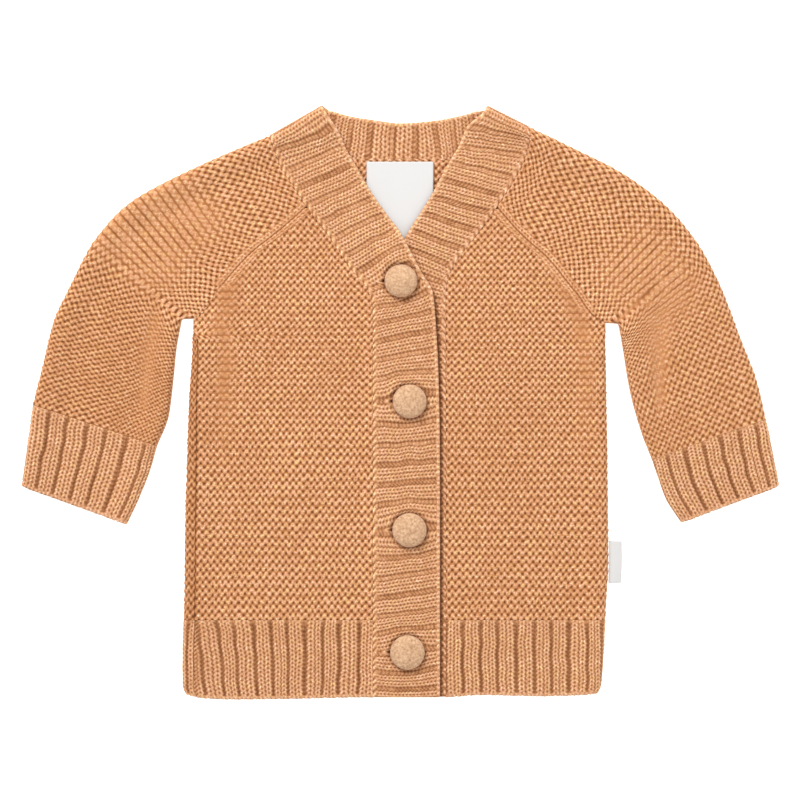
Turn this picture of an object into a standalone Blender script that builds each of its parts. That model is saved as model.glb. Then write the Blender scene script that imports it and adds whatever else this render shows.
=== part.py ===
"""A hand-knitted baby cardigan, buttoned and laid flat with its front up.

X runs across the garment, Y from the hem to the neck, Z up from the surface that it lies on.
Right and left are the wearer's: the right front is on the -X side and laps over the left one.
Sizes here are in millimetres, and each mesh is made in metres.

Each panel is a wall of cloth. It starts as a flat grid, which is extruded once, and its points
are then placed by a function: the inner face first, and the outer face one wall further out.
"""
import math

import bmesh
import bpy
import numpy as np

MM = 0.001

# Cloth
WALL = 3.0              # garter-knit cloth
RIB_VALLEY = 2.0        # ribbed cloth at the bottom of a valley
RIB_RISE = 1.0          # a rib above its valleys
RIB_SHOULDER = 0.18     # from a valley to its shoulder, as a share of the rib pitch
RIB_FLANK = 0.21        # from a valley to the rib's full height
SEAM = 0.3              # space left between pieces that are sewn together
AIR = 0.4               # space between the back and the layers that lie on it
FOLD = 4.5              # outer radius where the flattened tubes fold
SETTLE = 16.0           # distance over which cloth settles down from a fold
QUARTER = FOLD * math.pi / 2

# Button bands
LAP_RISE = 3.3          # the buttonhole band stands this much higher where it laps
LAP_RUN = 12.0          # distance over which it climbs
LAP_LEAD = 2.5          # it is up this far before the edge of the band below
FOLD_RIBS = 0.8         # a shoulder fold takes up this many ribs of a neckband

# Body
BODY_HEM = -126.5       # where the garter panels end and the hem rib starts
HEM_BOTTOM = -171.0     # the hem's lower edge at the middle
UNDERARM_RUN = 10.0     # the sides round off over this distance below the underarm
NARROW_FRONT = 40.0     # where a front is narrower than this, its edge columns draw together
NECK_RUN = 20.0         # a sleeve's rows straighten over this distance from the neck's seams
BACK_BEND = 100.0       # above here the rows of the back bend towards the neckband
EDGE_BAND = {-1: 9.8, 1: 4.2}   # width of the back's finer columns along each raglan

# Hem rib
RIB_PITCH = 10.2
HEM_SLANT = 5.0         # the outermost ribs on the right lean in by this much at the bottom
HEM_SLANT_START = -46.0 # X at which the lean starts
HEM_SLANT_RUN = 60.0    # distance over which it grows

# Cuff rib, as shares of the cuff's width from its outer fold
CUFF_RIBS = 5
CUFF_PITCH = 0.16
CUFF_FIRST = {-1: 0.13, 1: 0.12}

# Neck label and side tag
LABEL_HALF = 19.5
LABEL_TOP = 139.6
LABEL_BOTTOM = 91.0
LABEL_WALL = 0.6
LABEL_LIFT = 1.0        # how much the bands rise over the label
LABEL_FADE = 18.0
TAG_TOP = -80.5
TAG_BOTTOM = -105.0
TAG_REACH = 7.5
TAG_WALL = 0.8
TAG_DROOP = 1.8

# Buttons and buttonholes
BUTTON_RADIUS = 10.0
BUTTON_FLOAT = 0.35     # below the dome
BUTTON_RISE = 5.2
BUTTON_RIM = 1.3        # height of the dome's widest line
BUTTON_TUCK = 1.5       # how far the cloth turns in underneath
SHANK_RADIUS = 1.1
HOLE_LENGTH = 12.5
HOLE_WIDTH = 3.0
HOLE_DEPTH = 9.0
HOLE_OUT = 11.2         # from the button's centre to the hole's far end


def table(columns, *rows):
    """Name the columns of a short table of numbers."""
    return dict(zip(columns.split(), np.array(rows, float).T))


# Buttonhole band: a row for each place along it, counted in ribs from the shoulder fold.
RIGHT_BAND = table(
    "rib  seam_x  seam_y  edge_x  edge_y",
    (0.0, -76.0, 154.8, -45.5, 172.3),
    (1.0, -73.2, 146.5, -35.8, 157.0),
    (2.0, -68.8, 135.5, -31.0, 146.0),
    (3.0, -62.2, 125.5, -25.0, 136.0),
    (4.0, -55.8, 115.5, -20.0, 127.0),
    (5.0, -48.3, 105.5, -13.5, 117.0),
    (6.0, -41.0, 95.8, -7.0, 108.0),
    (7.0, -34.8, 86.2, -0.5, 99.0),
    (8.0, -28.0, 76.5, 5.0, 89.5),
    (9.0, -20.0, 66.8, 12.0, 76.0),
    (10.0, -16.2, 56.5, 19.0, 63.5),
    (12.0, -16.0, 36.5, 21.0, 40.5),
    (14.0, -16.0, 14.0, 22.2, 17.0),
    (17.0, -16.0, -25.0, 23.0, -23.0),
    (20.0, -16.0, -60.0, 23.1, -58.8),
    (22.0, -16.0, -88.5, 23.1, -87.5),
    (24.0, -16.0, -111.5, 23.1, -111.0),
    (27.0, -16.0, -144.0, 23.1, -143.8),
    (29.5, -16.0, -171.2, 23.1, -171.2),
)

# Button band, which runs on under the other one below the point of the neck.
LEFT_BAND = table(
    "rib  seam_x  seam_y  edge_x  edge_y",
    (0.0, 75.3, 159.8, 50.5, 172.3),
    (1.0, 75.0, 151.8, 38.6, 159.5),
    (2.0, 73.0, 142.8, 34.0, 148.5),
    (3.0, 67.0, 130.5, 28.3, 139.2),
    (4.0, 60.2, 119.5, 23.1, 129.5),
    (5.0, 53.2, 109.0, 17.6, 119.2),
    (6.0, 45.6, 98.6, 11.8, 110.0),
    (7.0, 37.8, 88.4, 5.6, 100.2),
    (8.0, 30.6, 78.6, 0.4, 91.0),
    (9.0, 26.9, 68.0, -4.6, 79.5),
    (10.0, 26.5, 57.2, -7.2, 66.5),
    (12.0, 26.5, 34.5, -8.0, 39.5),
    (16.0, 26.5, -11.2, -8.0, -8.0),
    (22.0, 26.5, -79.8, -8.0, -78.0),
    (30.0, 26.5, -171.0, -8.0, -171.0),
)

# Neckband at the back, from the right shoulder fold to the left one.
BACK_BAND = table(
    "rib  seam_x  seam_y  edge_x  edge_y",
    (0.0, -76.0, 154.8, -45.5, 172.3),
    (1.0, -66.0, 146.6, -37.8, 168.6),
    (2.2, -54.0, 142.2, -29.0, 166.0),
    (4.4, -28.0, 140.3, -15.5, 163.9),
    (6.2, 0.0, 140.0, 0.0, 162.0),
    (8.0, 28.5, 140.4, 17.5, 163.2),
    (10.2, 54.0, 143.4, 33.5, 166.0),
    (11.4, 66.0, 149.4, 42.5, 168.6),
    (12.4, 75.3, 159.8, 50.5, 172.3),
)

# Sleeves: a row across the sleeve at each distance along it, from the neck to the cuff.
# The front and back columns are the raglan seams, and the underarm edge below them.
RIGHT_SLEEVE = table(
    "along  outer_x  outer_y  front_x  front_y  back_x  back_y",
    (0, -76.0, 154.8, -54.4, 113.4, -54.0, 142.2),
    (22, -98.5, 145.4, -69.5, 100.0, -72.0, 121.0),
    (49, -127.5, 132.2, -87.0, 86.0, -90.0, 98.0),
    (80, -158.5, 114.6, -105.0, 66.0, -106.5, 74.0),
    (107, -179.0, 92.0, -121.5, 48.5, -121.5, 48.5),
    (112, -182.0, 87.0, -126.6, 43.5, -126.6, 43.5),
    (131, -191.5, 68.0, -129.8, 30.0, -129.8, 30.0),
    (151, -201.5, 46.5, -131.6, 12.0, -131.6, 12.0),
    (174, -207.5, 22.0, -134.2, -8.0, -134.2, -8.0),
    (195, -213.5, -1.5, -141.0, -25.5, -141.0, -25.5),
)
LEFT_SLEEVE = table(
    "along  outer_x  outer_y  front_x  front_y  back_x  back_y",
    (0, 75.3, 159.8, 56.0, 113.2, 54.0, 143.4),
    (24, 101.5, 147.2, 70.5, 97.0, 72.0, 122.0),
    (50, 130.5, 132.2, 85.5, 83.5, 89.0, 98.0),
    (80, 157.5, 111.2, 101.5, 64.0, 104.0, 74.0),
    (107, 175.5, 88.4, 119.6, 46.0, 119.6, 46.0),
    (112, 178.5, 83.0, 126.2, 41.0, 126.2, 41.0),
    (129, 187.2, 65.0, 129.0, 31.0, 129.0, 31.0),
    (156, 198.0, 36.5, 133.0, 7.0, 133.0, 7.0),
    (181, 207.0, 13.0, 139.6, -17.0, 139.6, -17.0),
    (202, 212.5, -10.0, 146.0, -33.5, 146.0, -33.5),
)
RIGHT_CUFF = table(
    "along  outer_x  outer_y  front_x  front_y",
    (0, -213.5, -1.5, -141.0, -25.5),
    (18, -216.0, -20.0, -145.0, -39.5),
    (34, -218.4, -36.0, -151.5, -56.0),
    (47, -220.0, -48.5, -158.5, -71.0),
)
LEFT_CUFF = table(
    "along  outer_x  outer_y  front_x  front_y",
    (0, 212.5, -10.0, 146.0, -33.5),
    (13, 215.2, -22.0, 149.4, -43.5),
    (26, 217.6, -34.5, 154.0, -56.0),
    (41, 220.0, -48.5, 163.0, -70.0),
)

# Body sides: the outermost line at each height, and how far round from it the side seam lies.
RIGHT_SIDE = table(
    "y  x  seam",
    (-172.0, -123.8, 8.4),
    (-165.0, -126.2, 9.0),
    (-155.0, -126.5, 9.2),
    (-115.0, -125.6, 9.2),
    (-68.0, -125.0, 9.0),
    (-33.0, -124.0, 8.4),
    (1.0, -123.0, 6.6),
    (36.0, -121.4, 3.0),
    (44.0, -120.6, 1.0),
    (48.5, -121.5, 0.0),
)
LEFT_SIDE = table(
    "y  x  seam",
    (-172.0, 114.5, 0.0),
    (-165.0, 116.8, 0.0),
    (-146.0, 118.2, 0.0),
    (-120.0, 119.6, 0.0),
    (-91.0, 121.0, 0.0),
    (-39.0, 120.6, 0.0),
    (-4.0, 120.0, 0.0),
    (30.0, 119.4, 0.0),
    (42.0, 118.8, 0.0),
    (46.0, 119.6, 0.0),
)
HEM_EDGE = table(
    "x  y",
    (-126.0, -170.2),
    (-98.0, -172.3),
    (-58.0, -171.8),
    (-16.0, -171.0),
    (26.0, -171.0),
    (46.0, -169.8),
    (82.0, -170.5),
    (118.0, -169.0),
)
FIRST_RIB = {-1: -106.3, 1: 36.4}      # X of each hem's first valley
HEM_RIBS = {-1: 9, 1: 8}               # valleys in each front hem

BUTTONS = table(
    "x  y",
    (1.0, 70.0),
    (5.6, 0.4),
    (5.4, -74.2),
    (4.2, -145.0),
)

FINISHES = {
    "garter_knit": ((0.62, 0.36, 0.20), 0.95),
    "rib_knit": ((0.64, 0.38, 0.22), 0.95),
    "button_cloth": ((0.68, 0.46, 0.31), 0.9),
    "label_cloth": ((0.88, 0.86, 0.83), 0.8),
}


# Curves and small helpers

def ease(share):
    share = min(max(share, 0.0), 1.0)
    return share * share * (3 - 2 * share)


def mix(a, b, share):
    return a + (b - a) * share


def unit(vector):
    return vector / np.linalg.norm(vector)


def through(stations, values, at):
    """Read a smooth curve through the values, which stays level between equal ones."""
    steps = np.diff(stations)
    slopes = np.diff(values) / steps
    product = slopes[1:] * slopes[:-1]
    total = np.where(product > 0, slopes[1:] + slopes[:-1], 1.0)
    inside = np.where(product > 0, 2 * product / total, 0.0)
    tangents = np.concatenate(([slopes[0]], inside, [slopes[-1]]))
    at = min(max(at, stations[0]), stations[-1])
    i = min(max(int(np.searchsorted(stations, at, side="right")) - 1, 0), len(steps) - 1)
    t = (at - stations[i]) / steps[i]
    rise = steps[i] * t * (1 - t)
    return (values[i] * (1 + 2 * t) * (1 - t) ** 2 + values[i + 1] * t * t * (3 - 2 * t)
            + rise * ((1 - t) * tangents[i] - t * tangents[i + 1]))


def column(rows, name, at):
    """Read one column of a table, whose first column gives the stations."""
    return through(next(iter(rows.values())), rows[name], at)


def point(rows, name, at):
    return np.array((column(rows, name + "_x", at), column(rows, name + "_y", at)))


def line(rows, name, first, last, count):
    """A seam or an edge of a table as closely set points."""
    return np.array([point(rows, name, s) for s in np.linspace(first, last, count)])


def crossing(points, y):
    """The X at which a line that runs downwards crosses a height Y."""
    return float(np.interp(-y, -points[:, 1], points[:, 0]))


SLEEVES = {-1: RIGHT_SLEEVE, 1: LEFT_SLEEVE}
SIDES = {-1: RIGHT_SIDE, 1: LEFT_SIDE}
BANDS = {-1: RIGHT_BAND, 1: LEFT_BAND}
UNDERARM = {-1: 48.5, 1: 46.0}
RAGLAN_TOP = {-1: 4.2, 1: 4.6}          # where each raglan meets the band, in ribs
UNDERARM_ALONG = 107.0                  # the same place along a sleeve, at its lower end
BACK_BAND_RAGLAN = {-1: 2.2, 1: 10.2}
BACK_BAND_END = {-1: 0.0, 1: BACK_BAND["rib"][-1]}

BAND_SEAM = {side: line(rows, "seam", 0.0, rows["rib"][-1], 237) for side, rows in BANDS.items()}
NECK_SEAM = {side: line(BANDS[side], "seam", 0.0, RAGLAN_TOP[side] + 0.4, 47) for side in (-1, 1)}
BACK_NECK_SEAM = {side: line(BACK_BAND, "seam", BACK_BAND_END[side], BACK_BAND_RAGLAN[side], 23)
                  for side in (-1, 1)}
BACK_BAND_SEAM = line(BACK_BAND, "seam", 0.0, BACK_BAND["rib"][-1], 125)
LOWER_EDGE = line(LEFT_BAND, "edge", 0.0, LEFT_BAND["rib"][-1], 241)
# The ways in which the front and back neck seams leave each shoulder fold
NECK_WAYS = {side: [unit(seam[side][6] - seam[side][0]) for seam in (NECK_SEAM, BACK_NECK_SEAM)]
             for side in (-1, 1)}
RAGLAN = {(side, face): line(SLEEVES[side], face, 0.0, UNDERARM_ALONG, 81)
          for side in (-1, 1) for face in ("front", "back")}


def band_seam(side, y):
    return crossing(BAND_SEAM[side], y)


def lower_edge(y):
    """X of the button band's free edge, which is the neck's edge above and hidden below."""
    return crossing(LOWER_EDGE, y)


def raglan(side, face, y):
    return crossing(RAGLAN[side, face], y)


def closed(side, y):
    """1 where the body's side is a rounded fold, 0 along the raglan seams."""
    return ease((UNDERARM[side] - 2.0 - y) / UNDERARM_RUN)


def rib(place, ribs=10 ** 6):
    """Height of the rib, 0 to 1, with a valley at each whole number from 0."""
    nearest = min(max(round(place), 0), ribs - 1)
    return ease(abs(place - nearest) / RIB_FLANK)


def ribbed(place, ribs=10 ** 6):
    return RIB_VALLEY + RIB_RISE * rib(place, ribs)


def rib_stations(first, last):
    """Places along a ribbed strip: the valleys, their shoulders and the crowns between them."""
    places = []
    for valley in range(math.ceil(first), math.floor(last) + 1):
        places += [valley - RIB_SHOULDER, valley, valley + RIB_SHOULDER, valley + 0.5]
    return [p for p in places if first < p < last]


# Heights of the layers

def resting(x, y):
    """Height of the inner face of a layer that lies on the back, and over the neck label."""
    over_label = ease((LABEL_HALF + LABEL_FADE - abs(x)) / LABEL_FADE)
    over_label *= ease((y - LABEL_BOTTOM + LABEL_FADE) / LABEL_FADE)
    return WALL + AIR + LABEL_LIFT * over_label


def lapping(x, y):
    """The same for the right front, which climbs over the button band."""
    climb = (x - lower_edge(y) + LAP_LEAD + LAP_RUN) / LAP_RUN
    return resting(x, y) + LAP_RISE * ease(climb)


LAYER = {-1: lapping, 1: resting}


def lifted(height, distance, share=1.0):
    """Raise a layer near a fold, where the cloth stands up to the fold's own height."""
    top = 2 * FOLD - WALL
    return mix(height, max(top, height), share * (1 - ease(distance / SETTLE)))


def round_fold(turn):
    """A place on a fold, turn mm round from its outermost line, upwards where turn > 0.

    Gives the reach in from that line, the height of the inner face, and the way that the
    wall thickens, as (outwards, up).
    """
    angle = min(max(turn / FOLD, -math.pi / 2), math.pi / 2)
    bend = FOLD - WALL
    reach = FOLD - bend * math.cos(angle) + max(abs(turn) - QUARTER, 0.0)
    return reach, FOLD + bend * math.sin(angle), (math.cos(angle), math.sin(angle))


def on_fold(edge, inward, turn, below=None):
    """Inner point and thickening direction of a fold whose outermost line passes edge.

    inward is the way in from that line, and below is the way in on the fold's lower side.
    """
    reach, height, (out, up) = round_fold(turn)
    if below is not None:
        inward = unit(mix(below, inward, (1 + up) / 2))
    place = edge + inward * reach
    return np.array((*place, height)), np.array((*(-out * inward), up))


# Meshes

def material(name):
    colour, roughness = FINISHES[name]
    made = bpy.data.materials.get(name) or bpy.data.materials.new(name)
    made.use_nodes = True
    shader = made.node_tree.nodes["Principled BSDF"]
    shader.inputs["Base Color"].default_value = (*colour, 1)
    shader.inputs["Roughness"].default_value = roughness
    shader.inputs["Metallic"].default_value = 0
    made.diffuse_color = (*colour, 1)
    return made


def finish(obj, finish_name):
    obj.data.materials.append(material(finish_name))
    obj.data.shade_smooth()
    obj.data.set_sharp_from_angle(angle=math.radians(50))
    return obj


def wall(name, finish_name, columns, rows, place, collection):
    """Make one panel: place(column, row) gives an inner point, a direction and a thickness."""
    bm = bmesh.new()
    across, along = len(columns) - 1, len(rows) - 1
    bmesh.ops.create_grid(bm, x_segments=across, y_segments=along, size=0.5)
    sheet = bmesh.ops.extrude_face_region(bm, geom=bm.faces[:])["geom"]
    outer = {v for v in sheet if isinstance(v, bmesh.types.BMVert)}
    placed = {}
    for vert in bm.verts:
        i, j = round((vert.co.x + 0.5) * across), round((vert.co.y + 0.5) * along)
        if (i, j) not in placed:
            placed[i, j] = place(columns[i], rows[j])
        inner, direction, thickness = placed[i, j]
        vert.co = (inner + unit(direction) * (thickness if vert in outer else 0.0)) * MM
    bmesh.ops.recalc_face_normals(bm, faces=bm.faces)
    if bm.calc_volume(signed=True) < 0:
        bmesh.ops.reverse_faces(bm, faces=bm.faces)
    mesh = bpy.data.meshes.new(name)
    bm.to_mesh(mesh)
    bm.free()
    obj = bpy.data.objects.new(name, mesh)
    collection.objects.link(obj)
    return finish(obj, finish_name)


UP = np.array((0.0, 0.0, 1.0))


# Sleeves and cuffs

def tube_stations(top_shares):
    """Places round a flattened tube, from its front edge over the outer fold to the back edge."""
    arc = np.linspace(SEAM / 2, QUARTER, 4)
    outer_arc = np.linspace(QUARTER, -QUARTER, 7)
    return ([("front edge", turn) for turn in arc]
            + [("front", share) for share in top_shares]
            + [("outer fold", turn) for turn in outer_arc]
            + [("back", share) for share in (0.25, 0.5, 0.75)]
            + [("back edge", -turn) for turn in arc[::-1]])


def tube_point(station, ends, ways, shut):
    """Place one station on the row of a flattened tube.

    ends are the row's outermost point and its ends on the front and on the back, and ways
    are the directions in which the front and the back leave the fold. shut is 1 where the
    front and back edges round down and up to meet each other.
    """
    kind, value = station
    outer, front, back = ends
    if kind == "outer fold":
        return on_fold(outer, ways[0], value, ways[1])
    face_up = kind.startswith("front")
    end, way = (front, ways[0]) if face_up else (back, ways[1])
    home = unit(outer - end)
    fold_line, edge_line = outer + way * FOLD, end + home * FOLD
    if kind.endswith("edge"):
        curled, curled_way = on_fold(end, home, value)
        flat = end + home * mix(SEAM / 2, FOLD, abs(value) / QUARTER)
    else:
        flat = mix(edge_line, fold_line, value) if face_up else mix(fold_line, edge_line, value)
    height = WALL
    if face_up:
        height = lifted(resting(*flat), np.linalg.norm(flat - fold_line))
        height = max(height, lifted(resting(*flat), np.linalg.norm(flat - edge_line), shut))
    inner, direction = np.array((*flat, height)), UP * (1 if face_up else -1)
    if kind.endswith("edge"):
        inner, direction = mix(inner, curled, shut), mix(direction, curled_way, shut)
    return inner, direction


def neck_shift(side, station, inner):
    """How far the sleeve's end is moved along X to follow the seams of the two neckbands."""
    if station[0].startswith("front"):
        return crossing(NECK_SEAM[side], inner[1]) - inner[0]
    if station[0].startswith("back"):
        return crossing(BACK_NECK_SEAM[side], inner[1]) - inner[0]
    return 0.0


def sleeve_ends(side, along):
    return [point(SLEEVES[side], end, along) for end in ("outer", "front", "back")]


def make_sleeve(name, side, collection):
    length = SLEEVES[side]["along"][-1]
    stations = tube_stations((0.15, 0.3, 0.5, 0.7, 0.85))
    places = [0, 7, 15, 25, 37, 49, 64, 80, 94, 107, 112, 121, 133, 147, 162, 178, length]
    off_neck = unit(sleeve_ends(side, NECK_RUN)[0] - sleeve_ends(side, 0)[0]) * SEAM / 2
    off_cuff = unit(sleeve_ends(side, length - NECK_RUN)[0] - sleeve_ends(side, length)[0]) * SEAM / 2

    def place(station, along):
        shut = ease((along - UNDERARM_ALONG) / UNDERARM_RUN)
        outer, front, back = ends = sleeve_ends(side, along)
        ways = [unit(front - outer), unit(back - outer)]
        at_neck = 1 - ease(along / NECK_RUN)
        ways = [unit(mix(way, seam_way, at_neck)) for way, seam_way in zip(ways, NECK_WAYS[side])]
        inner, direction = tube_point(station, ends, ways, shut)
        if at_neck:
            first_row, _ = tube_point(station, sleeve_ends(side, 0), NECK_WAYS[side], 0.0)
            inner[0] += neck_shift(side, station, first_row) * at_neck
        if along == 0:
            inner[:2] += off_neck
        if along == length:
            inner[:2] += off_cuff
        return inner, direction, WALL

    return wall(name, "garter_knit", stations, places, place, collection)


def make_cuff(name, side, collection):
    rows = {-1: RIGHT_CUFF, 1: LEFT_CUFF}[side]
    first = CUFF_FIRST[side]
    length = rows["along"][-1]
    off_sleeve = unit(point(rows, "outer", length) - point(rows, "outer", 0)) * SEAM / 2
    shares = rib_stations(-0.19, CUFF_RIBS - 0.4)
    stations = tube_stations([("rib", place) for place in reversed(shares)])

    def place(station, along):
        outer, front = point(rows, "outer", along), point(rows, "front", along)
        width = np.linalg.norm(front - outer)
        kind, value = station
        if isinstance(value, tuple):
            value = 1 - ((first + CUFF_PITCH * value[1]) * width - FOLD) / (width - 2 * FOLD)
        way = unit(front - outer)
        inner, direction = tube_point((kind, value), (outer, front, front), (way, way), 1.0)
        share = np.dot(inner[:2] - outer, unit(front - outer)) / width
        ribbing = ribbed((share - first) / CUFF_PITCH, CUFF_RIBS)
        thickness = mix(WALL, ribbing, ease(0.5 + unit(direction)[2]))
        if along == 0:
            inner[:2] += off_sleeve
        return inner, direction, thickness

    places = (0, length * 0.2, length * 0.45, length * 0.72, length)
    return wall(name, "rib_knit", stations, places, place, collection)


# Body panels

def side_point(side, y, turn):
    """A place on the body, turn mm round from the side's outermost line."""
    edge = np.array((column(SIDES[side], "x", y), y))
    inward = np.array((-side, 0.0))
    inner, direction = on_fold(edge, inward, turn)
    if turn >= QUARTER:
        inner[2] = lifted(LAYER[side](*inner[:2]), turn - QUARTER)
    elif turn <= -QUARTER:
        inner[2] = WALL
    return inner, direction


def turn_at(side, y, x):
    """How far round from the side's outermost line the front passes X."""
    return QUARTER - FOLD + abs(column(SIDES[side], "x", y) - x)


def front_point(side, y, offset, share):
    """A place on a front: offset mm in from its side seam, or a share of the way to its band."""
    start = column(SIDES[side], "seam", y) + SEAM / 2
    band_x = band_seam(side, y) + side * SEAM / 2
    fraction = closed(side, y)
    edge_x = raglan(side, "front", y) - side * SEAM / 2
    width = abs(edge_x - band_x)
    step = offset * min(1.0, width / NARROW_FRONT)
    flat_x = mix(edge_x - side * step, band_x, share)
    flat = np.array((flat_x, y, LAYER[side](flat_x, y)))
    if fraction == 0:
        return flat, UP
    inner, direction = side_point(side, y, start + offset)
    if share:
        x = mix(inner[0], band_x, share)
        inner, direction = side_point(side, y, turn_at(side, y, x))
    return mix(flat, inner, fraction), mix(UP, direction, fraction)


def make_front(name, side, top, collection):
    offsets = {-1: (0, 3, 7, 12), 1: (0, 2.3, 4.6, QUARTER, 12)}[side]
    columns = [(offset, 0.0) for offset in offsets]
    columns += [(offsets[-1], share) for share in (0.15, 0.35, 0.55, 0.75, 0.9, 1.0)]
    low = BODY_HEM + SEAM / 2
    rows = [low, -105, -80, -55, -30, -5, 15, 30, 38, 41, 44, 50, 56, 62, 70, 78, 88, 98, 106, top]

    def place(station, y):
        inner, direction = front_point(side, y, *station)
        return inner, direction, WALL

    return wall(name, "garter_knit", columns, rows, place, collection)


def back_stations():
    right = [("right", share) for share in np.linspace(0, 1, 8)]
    middle = [("middle", share) for share in np.linspace(0, 1, 9)[1:-1]]
    left = [("left", share) for share in np.linspace(1, 0, 4)]
    return right + middle + left


def back_rise(x, y):
    """How far a row of the back is bent up towards the neckband's seam."""
    middle = np.interp(0.0, BACK_BAND_SEAM[:, 0], BACK_BAND_SEAM[:, 1])
    rise = np.interp(x, BACK_BAND_SEAM[:, 0], BACK_BAND_SEAM[:, 1]) - middle
    return rise * ease((y - BACK_BEND) / (middle - BACK_BEND))


def back_edge(side, share, y):
    """A place near a side of the back: share runs in from its side seam or its raglan."""
    x = raglan(side, "back", y)
    for _ in range(3):
        x = raglan(side, "back", y + back_rise(x, y))
    x -= side * (SEAM / 2 + EDGE_BAND[side] * share)
    flat = np.array((x, y + back_rise(x, y), WALL))
    fraction = closed(side, y)
    if fraction == 0:
        return flat, -UP
    start = column(SIDES[side], "seam", y) - SEAM / 2
    inner, direction = side_point(side, y, mix(start, -QUARTER, share))
    return mix(flat, inner, fraction), mix(-UP, direction, fraction)


def back_point(station, y):
    """A place on the back, which folds up round both sides to its side seams."""
    kind, share = station
    if kind != "middle":
        return back_edge({"right": -1, "left": 1}[kind], share, y)
    inner = mix(back_edge(-1, 1.0, y)[0], back_edge(1, 1.0, y)[0], share)
    if y > BACK_BEND:
        inner[1] = y + back_rise(inner[0], y)
    return inner, -UP


def make_back(name, collection):
    middle_top = float(np.interp(0.0, BACK_BAND_SEAM[:, 0], BACK_BAND_SEAM[:, 1]))
    low = BODY_HEM + SEAM / 2
    rows = [low, -100, -70, -40, -10, 15, 30, 38, 41, 44, 50, 58, 70, 85, 100, 115, 128, middle_top - SEAM]

    def place(station, y):
        inner, direction = back_point(station, y)
        return inner, direction, WALL

    return wall(name, "garter_knit", back_stations(), rows, place, collection)


def hem_y(x, share):
    """Height at a share of the way down the hem."""
    return mix(BODY_HEM - SEAM / 2, through(HEM_EDGE["x"], HEM_EDGE["y"], x), share)


def lean(x, share):
    """How far a rib of the right front has moved in at a share of the way down."""
    return HEM_SLANT * share * min(max((HEM_SLANT_START - x) / HEM_SLANT_RUN, 0.0), 1.0)


def make_front_hem(name, side, collection):
    ribs = HEM_RIBS[side]
    places = rib_stations(-0.45, ribs - 0.55)
    if side < 0:
        stations = [("edge", 0.0), ("edge", 3.0)]
    else:
        stations = [("turn", turn) for turn in np.linspace(SEAM / 2, QUARTER, 4)]
        places = places[::-1]
    stations += [("rib", place) for place in places] + [("band", 0.0)]

    def rib_place(x, share):
        x -= lean(x, share) if side < 0 else 0.0
        return (x - FIRST_RIB[side]) / RIB_PITCH

    def place(station, share):
        kind, value = station
        y = mix(BODY_HEM, HEM_BOTTOM, share)
        if kind == "edge":
            inner, direction = side_point(side, y, column(SIDES[side], "seam", y) + SEAM / 2 + value)
        elif kind == "turn":
            inner, direction = side_point(side, y, value)
        else:
            x = band_seam(side, y) + side * SEAM / 2
            if kind == "rib":
                x = FIRST_RIB[side] + RIB_PITCH * value
                x += lean(x, share) if side < 0 else 0.0
            inner, direction = side_point(side, y, turn_at(side, y, x))
        inner[1] = hem_y(inner[0], share)
        return inner, direction, ribbed(rib_place(inner[0], share), ribs)

    return wall(name, "rib_knit", stations, (0.0, 0.35, 0.7, 1.0), place, collection)


def make_back_hem(name, collection):
    def place(station, share):
        y = mix(BODY_HEM, HEM_BOTTOM, share)
        inner, direction = back_point(station, y)
        inner[1] = hem_y(inner[0], share)
        return inner, direction, WALL

    return wall(name, "rib_knit", back_stations(), (0.0, 0.35, 0.7, 1.0), place, collection)


# Neckband and button bands

def across(rows, station, share):
    """A place across a band, kept half a seam in from the seam, and the way across."""
    seam, edge = point(rows, "seam", station), point(rows, "edge", station)
    run = unit(edge - seam)
    return mix(seam, edge, share) + run * (SEAM / 2) * (1 - ease(share * 5)), run


def shoulder_fold(rows, side, end, share, turn):
    """A place on a shoulder fold of the neckband, turn mm round from its outermost line.

    The way in runs along the sleeve's two neck seams there, and square to the fold elsewhere.
    """
    start, run = across(rows, end, share)
    square = np.array((-side * abs(run[1]), -abs(run[0])))
    front_way, back_way = (unit(mix(way, square, ease(share * 3))) for way in NECK_WAYS[side])
    return on_fold(start, front_way, turn, back_way)


def make_front_band(name, side, collection):
    rows = BANDS[side]
    last = rows["rib"][-1]
    stations = [("fold", turn) for turn in np.linspace(SEAM / 2, QUARTER, 4)]
    stations += [FOLD_RIBS - RIB_SHOULDER] + rib_stations(FOLD_RIBS, last - 0.1) + [last]
    shares = (0.0, 0.2, 0.4, 0.6, 0.8, 1.0) if side < 0 else (0.0, 0.5, 1.0)

    def place(share, station):
        if isinstance(station, tuple):
            return *shoulder_fold(rows, side, 0.0, share, station[1]), WALL
        plan, _ = across(rows, station, share)
        past_fold = shoulder_fold(rows, side, 0.0, share, QUARTER)[0][:2]
        height = lifted(LAYER[side](*plan), np.linalg.norm(plan - past_fold))
        return np.array((*plan, height)), UP, ribbed(station)

    return wall(name, "rib_knit", shares, stations, place, collection)


def make_back_band(name, collection):
    """The neckband behind the neck: flat below, ribbed on the inner side, which faces up."""
    last = BACK_BAND["rib"][-1]
    turns = np.linspace(-SEAM / 2, -QUARTER, 4)
    clear = FOLD_RIBS - 0.05
    stations = [(0.0, turn) for turn in turns] + [clear]
    stations += rib_stations(FOLD_RIBS, last - FOLD_RIBS) + [last - clear]
    stations += [(last, turn) for turn in turns[::-1]]

    def place(share, station):
        if not isinstance(station, tuple):
            plan, _ = across(BACK_BAND, station, share)
            return np.array((*plan, 0.0)), UP, ribbed(station)
        end, turn = station
        inner, direction = shoulder_fold(BACK_BAND, -1 if end == 0 else 1, end, share, turn)
        return inner + direction * WALL, -direction, WALL

    return wall(name, "rib_knit", (0.0, 0.5, 1.0), stations, place, collection)


# Buttons, label and tag

def band_top(x, y):
    return lapping(x, y) + RIB_VALLEY + RIB_RISE


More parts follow.
